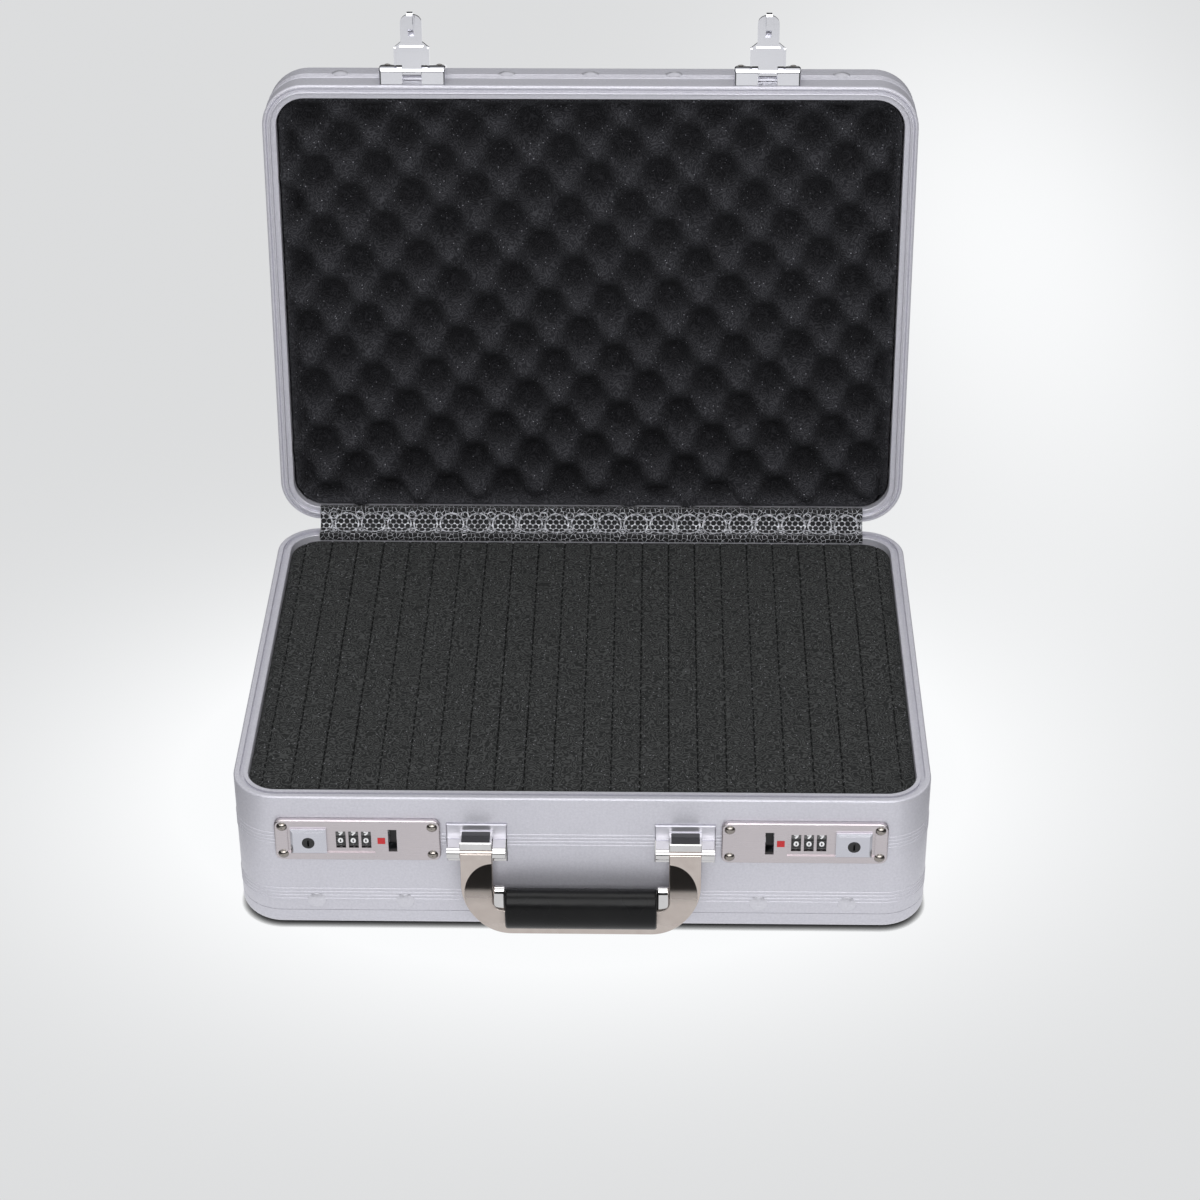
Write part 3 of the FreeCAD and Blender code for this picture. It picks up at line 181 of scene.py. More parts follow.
for centre, width, amount in light_pools:
    placed = add_node(tree, "ShaderNodeMapping", {"vector_type": "TEXTURE"}, {
        "Vector": place, "Location": (*centre, 0), "Scale": (*width, 1)})
    squared = add_node(tree, "ShaderNodeVectorMath", {"operation": "DOT_PRODUCT"},
                       {0: placed, 1: placed})
    falling = add_node(tree, "ShaderNodeMath", {"operation": "MULTIPLY"},
                       {0: squared.outputs["Value"], 1: -1.0})
    bell = add_node(tree, "ShaderNodeMath", {"operation": "EXPONENT"}, {0: falling})
    pools.append(add_node(tree, "ShaderNodeMath", {"operation": "MULTIPLY"}, {0: bell, 1: amount}))
both = add_node(tree, "ShaderNodeMath", {"operation": "ADD"}, {0: pools[0], 1: pools[1]})
pool_light = add_node(tree, "ShaderNodeMath", {"operation": "ADD"}, {0: both, 1: backdrop_tone})
capped = add_node(tree, "ShaderNodeMath", {"operation": "MINIMUM"}, {0: pool_light, 1: brightest})
# Painted contact shadow: the table's glow darkens where the case comes near it.
contact = add_node(tree, "ShaderNodeAmbientOcclusion", {"samples": 12}, {"Distance": 0.005})
shadow = add_node(tree, "ShaderNodeMath", {"operation": "POWER"},
                  {0: contact.outputs["AO"], 1: shadow_power})
seen = add_node(tree, "ShaderNodeMath", {"operation": "MULTIPLY"}, {0: capped, 1: shadow})
# Polished pieces mirror a lit part of the table, which widens towards the camera and ends.
parts = add_node(tree, "ShaderNodeSeparateXYZ", inputs={0: place})
forward = add_node(tree, "ShaderNodeMath", {"operation": "MULTIPLY"}, {0: parts.outputs[1], 1: -1.0})
ahead = add_node(tree, "ShaderNodeMath", {"operation": "MAXIMUM"}, {0: forward, 1: 0.0})
half_width = add_node(tree, "ShaderNodeMath", {"operation": "MULTIPLY_ADD"},
                      {0: ahead, 1: lit_widening, 2: lit_half_width})
aside = add_node(tree, "ShaderNodeMath", {"operation": "ABSOLUTE"}, {0: parts.outputs[0]})
share = add_node(tree, "ShaderNodeMath", {"operation": "DIVIDE"}, {0: aside, 1: half_width})
lit_across = add_node(tree, "ShaderNodeMapRange", {"interpolation_type": "SMOOTHSTEP"}, {
    "Value": share, "From Min": 0.8, "From Max": 1.2, "To Min": 0.96, "To Max": 0.1})
lit_along = add_node(tree, "ShaderNodeMapRange", {"interpolation_type": "SMOOTHSTEP"}, {
    "Value": ahead, "From Min": 3.4, "From Max": 5.5, "To Min": 1.0, "To Max": 0.05})
mirrored = add_node(tree, "ShaderNodeMath", {"operation": "MULTIPLY"}, {0: lit_across, 1: lit_along})
glow = add_node(tree, "ShaderNodeEmission", inputs={
    "Color": cool_white, "Strength": by_ray(tree, seen, mirrored, table_light)})
add_node(tree, "ShaderNodeOutputMaterial", inputs={"Surface": glow})
table_mesh.materials.append(paper)


# Base and lid shells
# Bent aluminium extrusions with rolled bands, each closed by a pressed pan. The metal is
# blasted with fine beads and anodised clear, so it is pale, even and hardly mirrors.
def new_material(name):
    """An empty node material: returns it with its tree and its Principled shader."""
    material = bpy.data.materials.new(name)
    material.use_nodes = True
    tree = material.node_tree
    tree.nodes.clear()
    shader = add_node(tree, "ShaderNodeBsdfPrincipled")
    add_node(tree, "ShaderNodeOutputMaterial", inputs={"Surface": shader})
    return material, tree, shader


def blasted_aluminium():
    """Clear-anodised aluminium, bead-blasted: soft pits, drawn 1.6 mm wide so that they show."""
    material, tree, shader = new_material("blasted_anodised_aluminium")
    place = add_node(tree, "ShaderNodeTexCoord").outputs["Object"]
    pits = add_node(tree, "ShaderNodeTexNoise", inputs={
        "Vector": place, "Scale": 1 / 0.0016, "Detail": 2, "Roughness": 0.6})
    clouds = add_node(tree, "ShaderNodeTexNoise", inputs={
        "Vector": place, "Scale": 1 / 0.05, "Detail": 2})
    both = add_node(tree, "ShaderNodeMix", {"data_type": "FLOAT"},
                    {"Factor": 0.25, 2: pits, 3: clouds})
    colour = add_node(tree, "ShaderNodeMix", {"data_type": "RGBA"}, {
        "Factor": both, 6: linear("BAB9C2"), 7: linear("DAD9E1")})
    gloss = add_node(tree, "ShaderNodeMapRange", inputs={
        "Value": both, "From Min": 0.3, "From Max": 0.7, "To Min": 0.44, "To Max": 0.36})
    bump = add_node(tree, "ShaderNodeBump", inputs={
        "Strength": 0.5, "Distance": 0.00012, "Height": pits})
    set_inputs(tree, shader, {"Base Color": colour.outputs[2], "Roughness": gloss, "Normal": bump,
                              "Metallic": 0.36})
    return material


def finish_nodes(material, *names):
    """Gives CAD nodes a material."""
    for name in names:
        for slot in cad[name].material_slots:
            slot.material = material


finish_nodes(blasted_aluminium(), "base_frame", "base_pan", "lid_frame", "lid_pan")


# Shell rivets
# Solid aluminium rivets with domed heads, set by a cup tool that leaves them smoother
# than the blasted wall round them. A thin ring of painted shade lies round the foot of each head.
set_rivets, tree, shader = new_material("set_aluminium_rivet")
place = add_node(tree, "ShaderNodeTexCoord").outputs["Object"]
scuff = add_node(tree, "ShaderNodeTexNoise", inputs={
    "Vector": place, "Scale": 1 / 0.0015, "Detail": 2})
tone = add_node(tree, "ShaderNodeMix", {"data_type": "RGBA"}, {
    "Factor": scuff, 6: linear("C6C5CD"), 7: linear("D8D7DE")})
gloss = add_node(tree, "ShaderNodeMapRange", inputs={
    "Value": scuff, "To Min": 0.26, "To Max": 0.36})
# Painted shade: the rivet darkens where the wall is close round its foot.
nook = add_node(tree, "ShaderNodeAmbientOcclusion", {"samples": 8}, {"Distance": 0.003})
painted_ring_shade = add_node(tree, "ShaderNodeMapRange", {"interpolation_type": "SMOOTHSTEP"}, {
    "Value": nook.outputs["AO"], "From Min": 0.5, "From Max": 0.95, "To Min": 0.8, "To Max": 0.0})
tone = add_node(tree, "ShaderNodeMix", {"data_type": "RGBA"},
                {"Factor": painted_ring_shade, 6: tone.outputs[2], 7: linear("4A494E")})
set_inputs(tree, shader, {"Base Color": tone.outputs[2], "Roughness": gloss, "Metallic": 0.7})
finish_nodes(set_rivets, "base_rivets", "lid_rivets")


# Hinge
# Zinc-plated steel leaves, pin and stop brackets along the back. The plating is bright
# with a faint blue tone and a drawn grain along the strip.
def zinc_plate():
    """Bright zinc on rolled steel: grain drawn along X, about 1 mm wide."""
    material, tree, shader = new_material("zinc_plated_steel")
    place = add_node(tree, "ShaderNodeTexCoord").outputs["Object"]
    drawn = add_node(tree, "ShaderNodeMapping", inputs={"Vector": place, "Scale": (20, 900, 900)})
    grain = add_node(tree, "ShaderNodeTexNoise", inputs={
        "Vector": drawn, "Scale": 1.0, "Detail": 3})
    colour = add_node(tree, "ShaderNodeMix", {"data_type": "RGBA"}, {
        "Factor": grain, 6: linear("A9ABAE"), 7: linear("C6C8CC")})
    gloss = add_node(tree, "ShaderNodeMapRange", inputs={
        "Value": grain, "To Min": 0.25, "To Max": 0.42})
    set_inputs(tree, shader, {"Base Color": colour.outputs[2], "Roughness": gloss, "Metallic": 1.0})
    return material


hinge_steel = zinc_plate()
finish_nodes(hinge_steel, "hinge_leaf_base", "hinge_leaf_lid", "hinge_pin",
             "hinge_rivets_base", "hinge_rivets_lid", "lid_stops", "hasp_pins",
             "handle_pins", "handle_screws")


# Cube foam in the base
# Open-cell foam, charcoal, cut from above into 19 mm cubes that stay joined by small
# bridges, so the cuts run front to back as dashes. Under it lies a plain pad.
def foam(name, dark, light, glint_colour, worm):
    """Open-cell polyurethane foam: torn cells as curled lines, whose size follows worm, and
    painted glints, pale specks where a cell's wall would catch the light. Both are drawn coarse, to
    show."""
    curl_density = 0.21
    curl_turns = 38.0
    fine_density = 1.6
    speck_gap = 0.0032
    speck_level = 0.55
    material, tree, shader = new_material(name)
    place = add_node(tree, "ShaderNodeTexCoord").outputs["Object"]
    field = add_node(tree, "ShaderNodeTexNoise", inputs={
        "Vector": place, "Scale": curl_density / worm, "Detail": 0.4})
    turns = add_node(tree, "ShaderNodeMath", {"operation": "MULTIPLY"}, {0: field, 1: curl_turns})
    curls = add_node(tree, "ShaderNodeMath", {"operation": "SINE"}, {0: turns})
    lines = add_node(tree, "ShaderNodeMapRange", {"interpolation_type": "SMOOTHSTEP"}, {
        "Value": curls, "From Min": -0.6, "From Max": 1.0})
    fine = add_node(tree, "ShaderNodeTexNoise", inputs={
        "Vector": place, "Scale": fine_density / worm, "Detail": 3, "Roughness": 0.7})
    both = add_node(tree, "ShaderNodeMix", {"data_type": "FLOAT"},
                    {"Factor": 0.45, 2: lines, 3: fine})
    body = add_node(tree, "ShaderNodeMix", {"data_type": "RGBA"},
                    {"Factor": both, 6: linear(dark), 7: linear(light)})
    # Painted glints: a few random pale specks stand in for light caught by cell walls.
    dots = add_node(tree, "ShaderNodeTexVoronoi", inputs={
        "Vector": place, "Scale": 1 / speck_gap, "Randomness": 1.0})
    small = add_node(tree, "ShaderNodeMapRange", {"interpolation_type": "SMOOTHSTEP"}, {
        "Value": dots.outputs["Distance"], "From Min": 0.08, "From Max": 0.14,
        "To Min": 1.0, "To Max": 0.0})
    chance = add_node(tree, "ShaderNodeSeparateColor", inputs={"Color": dots.outputs["Color"]})
    few = add_node(tree, "ShaderNodeMath", {"operation": "GREATER_THAN"},
                   {0: chance, 1: speck_level})
    painted_glints = add_node(tree, "ShaderNodeMath", {"operation": "MULTIPLY"}, {0: small, 1: few})
    colour = add_node(tree, "ShaderNodeMix", {"data_type": "RGBA"},
                      {"Factor": painted_glints, 6: body.outputs[2], 7: linear(glint_colour)})
    bump = add_node(tree, "ShaderNodeBump", inputs={
        "Strength": 0.7, "Distance": worm * 0.5, "Height": both})
    set_inputs(tree, shader, {"Base Color": colour.outputs[2], "Normal": bump, "Roughness": 1.0,
                              "Specular IOR Level": 0.1})
    return material


def new_piece(name, mesh, material, body):
    """Links a finished mesh as a piece that rides on a body."""
    piece = bpy.data.objects.new(name, mesh)
    bpy.context.collection.objects.link(piece)
    mesh.materials.clear()
    mesh.materials.append(material)
    if body:
        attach(piece, body)
    return piece


def rounded_slab(name, x, y, z0, z1, radius, steps=10):
    """Closed mesh of a plate with rounded corners, half sizes x and y."""
    shape = bmesh.new()
    rim = []
    for corner in range(4):
        cx = (x - radius) * (1 if corner in (0, 3) else -1)
        cy = (y - radius) * (1 if corner in (0, 1) else -1)
        for step in range(steps + 1):
            angle = math.radians(90 * corner + 90 * step / steps)
            rim.append((cx + radius * math.cos(angle), cy + radius * math.sin(angle)))
    low = [shape.verts.new((px, py, z0)) for px, py in rim]
    high = [shape.verts.new((px, py, z1)) for px, py in rim]
    shape.faces.new(list(reversed(low)))
    shape.faces.new(high)
    for i in range(len(rim)):
        j = (i + 1) % len(rim)
        shape.faces.new([low[i], low[j], high[j], high[i]])
    mesh = bpy.data.meshes.new(name)
    shape.to_mesh(mesh)
    shape.free()
    return mesh


def node_group(name, sizes):
    """A Geometry Nodes tree with one named input for each size."""
    tree = bpy.data.node_groups.new(name, "GeometryNodeTree")
    sockets = {}
    for label, value in sizes.items():
        kind = "NodeSocketInt" if isinstance(value, int) else "NodeSocketFloat"
        socket = tree.interface.new_socket(label, in_out="INPUT", socket_type=kind)
        socket.default_value = value
        sockets[label] = socket.identifier
    tree.interface.new_socket("Geometry", in_out="OUTPUT", socket_type="NodeSocketGeometry")
    return tree, tree.nodes.new("NodeGroupInput").outputs, sockets


def flat_grid(tree, given):
    """A flat grid of the given sizes and steps, and the place of each of its points."""
    grid = add_node(tree, "GeometryNodeMeshGrid", inputs={
        "Size X": given["Width"], "Size Y": given["Depth"],
        "Vertices X": given["Columns"], "Vertices Y": given["Rows"]})
    return grid, add_node(tree, "GeometryNodeInputPosition")


def lift_grid(tree, grid, height, material):
    """Ends a tree: lifts each point of the grid by a height and gives the grid a material."""
    shift = add_node(tree, "ShaderNodeCombineXYZ", inputs={2: height})
    placed = add_node(tree, "GeometryNodeSetPosition", inputs={"Geometry": grid, "Offset": shift})
    real = add_node(tree, "GeometryNodeRealizeInstances", inputs={0: placed})
    dressed = add_node(tree, "GeometryNodeSetMaterial", inputs={
        "Geometry": real, "Material": material})
    add_node(tree, "NodeGroupOutput", inputs={0: dressed})


def grown(name, tree, sockets, sizes):
    """Runs a Geometry Nodes tree on an empty object and returns the mesh that it makes."""
    seed = bpy.data.objects.new(name, bpy.data.meshes.new(name))
    bpy.context.collection.objects.link(seed)
    grower = seed.modifiers.new(name, "NODES")
    grower.node_group = tree
    for label, value in sizes.items():
        grower[sockets[label]] = value
    depsgraph = bpy.context.evaluated_depsgraph_get()
    mesh = bpy.data.meshes.new_from_object(seed.evaluated_get(depsgraph))
    seed.modifiers.remove(grower)
    bpy.data.objects.remove(seed)
    return mesh


def cut_mesh(mesh, cutter, operation):
    """Result of a boolean between two closed meshes."""
    body = bpy.data.objects.new("cut_body", mesh)
    tool = bpy.data.objects.new("cut_tool", cutter)
    for item in (body, tool):
        bpy.context.collection.objects.link(item)
    step = body.modifiers.new("cut", "BOOLEAN")
    step.operation = operation
    step.object = tool
    step.solver = "EXACT"
    depsgraph = bpy.context.evaluated_depsgraph_get()
    result = bpy.data.meshes.new_from_object(body.evaluated_get(depsgraph))
    for item in (body, tool):
        bpy.data.objects.remove(item)
    return result


def cube_foam_tree(material):
    """Grid whose height dips along dashed front-to-back cuts and faint cross cuts."""
    sizes = {"Width": 0.46, "Depth": 0.34, "Columns": 480, "Rows": 142,
             "Cube": cube_pitch, "Cut Width": 0.0009, "Cut Depth": 0.0013, "Dash": cut_dash,
             "Ripple": 0.0006, "Seed": 3}
    cross_cut_share = 0.06
    tree, given, sockets = node_group("cube_foam_top", sizes)
    grid, spot = flat_grid(tree, given)
    parts = add_node(tree, "ShaderNodeSeparateXYZ", inputs={0: spot})
    half = add_node(tree, "ShaderNodeMath", {"operation": "MULTIPLY"}, {0: given["Cube"], 1: 0.5})
    dips = []
    for axis in (0, 1):
        away = add_node(tree, "ShaderNodeMath", {"operation": "PINGPONG"},
                        {0: parts.outputs[axis], 1: half})
        dips.append(add_node(tree, "ShaderNodeMapRange", {"interpolation_type": "SMOOTHSTEP"}, {
            "Value": away, "From Max": given["Cut Width"], "To Min": 1.0, "To Max": 0.0}))
    beat = add_node(tree, "ShaderNodeMath", {"operation": "FLOORED_MODULO"},
                    {0: parts.outputs[1], 1: given["Dash"]})
    share = add_node(tree, "ShaderNodeMath", {"operation": "DIVIDE"}, {0: beat, 1: given["Dash"]})
    open_cut = add_node(tree, "ShaderNodeMath", {"operation": "LESS_THAN"},
                        {0: share, 1: dash_share})
    dashes = add_node(tree, "ShaderNodeMath", {"operation": "MULTIPLY"}, {0: dips[0], 1: open_cut})
    faint = add_node(tree, "ShaderNodeMath", {"operation": "MULTIPLY"},
                     {0: dips[1], 1: cross_cut_share})
    cuts = add_node(tree, "ShaderNodeMath", {"operation": "MAXIMUM"}, {0: dashes, 1: faint})
    depth = add_node(tree, "ShaderNodeMath", {"operation": "MULTIPLY"},
                     {0: cuts, 1: given["Cut Depth"]})
    waves = add_node(tree, "ShaderNodeTexNoise", {"noise_dimensions": "4D"}, {
        "Vector": spot, "W": given["Seed"], "Scale": 70.0, "Detail": 2.0})
    ripple = add_node(tree, "ShaderNodeMath", {"operation": "MULTIPLY"},
                      {0: waves, 1: given["Ripple"]})
    drop = add_node(tree, "ShaderNodeMath", {"operation": "ADD"}, {0: depth, 1: ripple})
    down = add_node(tree, "ShaderNodeMath", {"operation": "MULTIPLY"}, {0: drop, 1: -1.0})
    lift_grid(tree, grid, down, material)
    return tree, sockets, sizes


def closed_below(mesh, depth):
    """Turns a sheet into a closed block by carrying its border down to a flat floor."""
    shape = bmesh.new()
    shape.from_mesh(mesh)
    border = [edge for edge in shape.edges if edge.is_boundary]
    made = bmesh.ops.extrude_edge_only(shape, edges=border)
    floor = [item for item in made["geom"] if isinstance(item, bmesh.types.BMVert)]
    for vertex in floor:
        vertex.co.z = depth
    edges = [item for item in made["geom"] if isinstance(item, bmesh.types.BMEdge)]
    bmesh.ops.contextual_create(shape, geom=[e for e in edges if e.is_boundary])
    bmesh.ops.recalc_face_normals(shape, faces=shape.faces)
    shape.to_mesh(mesh)
    shape.free()
    return mesh


def opened(material):
    """A finished material's tree, its Principled shader and new Object coordinates."""
    tree = material.node_tree
    coordinates = add_node(tree, "ShaderNodeTexCoord")
    return tree, tree.nodes["Principled BSDF"], coordinates.outputs["Object"]


def darken(tree, shader, share, code):
    """Mixes a material's colour towards a darker one."""
    body = shader.inputs["Base Color"].links[0].from_socket
    colour = add_node(tree, "ShaderNodeMix", {"data_type": "RGBA"},
                      {"Factor": share, 6: body, 7: linear(code)})
    tree.links.new(colour.outputs[2], shader.inputs["Base Color"])


def cut_lines(material):
    """Darkens the foam down its dashed cuts, where little light reaches."""
    wander_width = 0.0012
    tree, shader, place = opened(material)
    wander = add_node(tree, "ShaderNodeTexNoise", inputs={"Vector": place, "Scale": 1 / 0.006})
    parts = add_node(tree, "ShaderNodeSeparateXYZ", inputs={0: place})
    moved = add_node(tree, "ShaderNodeMath", {"operation": "MULTIPLY_ADD"},
                     {0: wander, 1: wander_width, 2: parts.outputs[0]})
    centred = add_node(tree, "ShaderNodeMath", {"operation": "SUBTRACT"},
                       {0: moved, 1: wander_width / 2})
    away = add_node(tree, "ShaderNodeMath", {"operation": "PINGPONG"},
                    {0: centred, 1: cube_pitch / 2})
    line = add_node(tree, "ShaderNodeMapRange", {"interpolation_type": "SMOOTHSTEP"}, {
        "Value": away, "From Min": 0.0002, "From Max": 0.0009, "To Min": 1.0, "To Max": 0.0})
    beat = add_node(tree, "ShaderNodeMath", {"operation": "FLOORED_MODULO"},
                    {0: parts.outputs[1], 1: cut_dash})
    open_cut = add_node(tree, "ShaderNodeMath", {"operation": "LESS_THAN"},
                        {0: beat, 1: cut_dash * dash_share})
    depth = add_node(tree, "ShaderNodeMapRange", inputs={
        "Value": open_cut, "To Min": 0.05, "To Max": 0.8})
    mask = add_node(tree, "ShaderNodeMath", {"operation": "MULTIPLY"}, {0: line, 1: depth})
    darken(tree, shader, mask, "040405")


cube_pitch = 0.01905
cut_dash = 0.0074
dash_share = 0.66
foam_corner = 0.02
past_foam = 0.01
pocket_gap = 0.0006
pocket_depth = 0.02
pocket_corner = 0.0005
sides = ("left", "right")
charcoal_foam = foam("charcoal_foam", "171818", "525353", "94949A", 0.0009)
cut_lines(charcoal_foam)
low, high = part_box("base_pluck_foam")
tree, sockets, sizes = cube_foam_tree(charcoal_foam)
cube_top = grown("cube_foam_top", tree, sockets, sizes)
cube_top = closed_below(cube_top, low.z - high.z - 2 * past_foam)
cube_top.transform(Matrix.Translation((0, 0, high.z)))
cube_plan = rounded_slab("cube_plan", high.x, high.y, low.z, high.z + past_foam, foam_corner)
cube_foam = cut_mesh(cube_top, cube_plan, "INTERSECT")
for side in sides:
    lo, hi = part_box("lock_housing_" + side)
    pocket = rounded_slab("pocket", (hi.x - lo.x) / 2 + pocket_gap, pocket_depth,
                          lo.z - pocket_gap, hi.z + pocket_gap, pocket_corner, 1)
    middle = Vector(((lo.x + hi.x) / 2, hi.y + pocket_gap - pocket_depth, 0))
    pocket.transform(Matrix.Translation(middle))
    cube_foam = cut_mesh(cube_foam, pocket, "DIFFERENCE")
cube_foam.name = "cube_foam"
cube_foam.shade_smooth()
cube_foam.set_sharp_from_angle(angle=math.radians(50))
cube_foam_piece = new_piece("cube_foam", cube_foam, charcoal_foam, "base")
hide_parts("base_pluck_foam")

low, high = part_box("base_foam_pad")
pad_mesh = rounded_slab("foam_pad", high.x, high.y, low.z, high.z, foam_corner)
pad_piece = new_piece("foam_pad", pad_mesh, charcoal_foam, "base")
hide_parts("base_foam_pad")


# Egg-crate foam in the lid
# Black convoluted foam: rounded peaks and deep round hollows on a lattice of 31.6 mm, nearly
# square, that lies turned in the lid. Its border is pressed flat against the frame.
lid_angle = math.radians(97.3)
hinge_line = Vector((0, 0.169, 0.107))
lid_swing = (Matrix.Translation(hinge_line) @ Matrix.Rotation(-lid_angle, 4, "X")
             @ Matrix.Translation(-hinge_line))


def crate_tree(material):
    """Grid raised and lowered by two crossed waves, which run at their own angles. Near the
    border it stays high."""
    sizes = {"Width": 0.46, "Depth": 0.34, "Columns": 232, "Rows": 172, "Pitch": 0.0316,
             "First Angle": math.radians(38.7), "First Shift": -0.0071,
             "Second Angle": math.radians(131.0), "Second Shift": 0.0051,
             "Height": 0.0243, "Sharpness": 1.1, "Edge": 0.013}
    border_height = 0.8
    tree, given, sockets = node_group("egg_crate", sizes)
    grid, spot = flat_grid(tree, given)
    rate = add_node(tree, "ShaderNodeMath", {"operation": "DIVIDE"},
                    {0: 2 * math.pi, 1: given["Pitch"]})
    waves = []
    for order in ("First", "Second"):
        across = add_node(tree, "ShaderNodeVectorRotate", {
            "rotation_type": "Z_AXIS", "invert": True},
            {"Vector": spot, "Angle": given[order + " Angle"]})
        parts = add_node(tree, "ShaderNodeSeparateXYZ", inputs={0: across})
        moved = add_node(tree, "ShaderNodeMath", {"operation": "SUBTRACT"},
                         {0: parts.outputs[0], 1: given[order + " Shift"]})
        phase = add_node(tree, "ShaderNodeMath", {"operation": "MULTIPLY"}, {0: moved, 1: rate})
        waves.append(add_node(tree, "ShaderNodeMath", {"operation": "COSINE"}, {0: phase}))
    total = add_node(tree, "ShaderNodeMath", {"operation": "ADD"}, {0: waves[0], 1: waves[1]})
    share = add_node(tree, "ShaderNodeMapRange", inputs={
        "Value": total, "From Min": -2.0, "From Max": 2.0})
    full = add_node(tree, "ShaderNodeMath", {"operation": "POWER"},
                    {0: share, 1: given["Sharpness"]})
    parts = add_node(tree, "ShaderNodeSeparateXYZ", inputs={0: spot})
    for axis, reach in enumerate(crate_half):
        either = add_node(tree, "ShaderNodeMath", {"operation": "ABSOLUTE"},
                          {0: parts.outputs[axis]})
        inside = add_node(tree, "ShaderNodeMath", {"operation": "SUBTRACT"}, {0: reach, 1: either})
        pressed = add_node(tree, "ShaderNodeMapRange", {"interpolation_type": "SMOOTHSTEP"}, {
            "Value": inside, "From Max": given["Edge"], "To Min": border_height, "To Max": 0.0})
        full = add_node(tree, "ShaderNodeMath", {"operation": "MAXIMUM"}, {0: full, 1: pressed})
    rise = add_node(tree, "ShaderNodeMath", {"operation": "MULTIPLY"},
                    {0: full, 1: given["Height"]})
    lift_grid(tree, grid, rise, material)
    return tree, sockets, sizes


def deepened(material, nearest, axis, depth):
    """Paints shade on a foam down its hollows, from the plane of its peaks to their floor."""
    tree, shader, place = opened(material)
    along = add_node(tree, "ShaderNodeVectorMath", {"operation": "DOT_PRODUCT"},
                     {0: place, 1: axis})
    dark = add_node(tree, "ShaderNodeMapRange", {"interpolation_type": "SMOOTHSTEP"}, {
        "Value": along.outputs["Value"], "From Min": nearest + depth * 0.15,
        "From Max": nearest + depth * 0.85, "To Min": 0.0, "To Max": 0.42})
    darken(tree, shader, dark, "060607")


black_foam = foam("black_foam", "1A1A1D", "454549", "A2A2AB", 0.0009)
crate_back = 0.1565
crate_front = 0.1081
crate_half = (0.2176, 0.1541)
crate_corner = 0.0191
crate_block = 0.03
tree, sockets, sizes = crate_tree(black_foam)
inward = lid_swing.to_3x3() @ Vector((0, 0, 1))
peaks = (lid_swing @ Vector((0, 0, crate_front))).dot(inward)
# Painted shade down the hollows of the egg-crate foam.
deepened(black_foam, peaks, inward, sizes["Height"])
crate = grown("egg_crate", tree, sockets, sizes)
crate = closed_below(crate, -crate_block)
crate.transform(Matrix.Translation((0, 0, crate_front + sizes["Height"]))
                @ Matrix.Diagonal((1, 1, -1, 1)))
crate.flip_normals()
crate_plan = rounded_slab("crate_plan", *crate_half, crate_front - past_foam, crate_back,
                          crate_corner)
crate = cut_mesh(crate, crate_plan, "INTERSECT")
crate.name = "egg_crate_foam"
crate.shade_smooth()
crate.set_sharp_from_angle(angle=math.radians(60))
crate.transform(lid_swing)
crate_piece = new_piece("egg_crate_foam", crate, black_foam, "lid")
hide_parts("lid_foam")
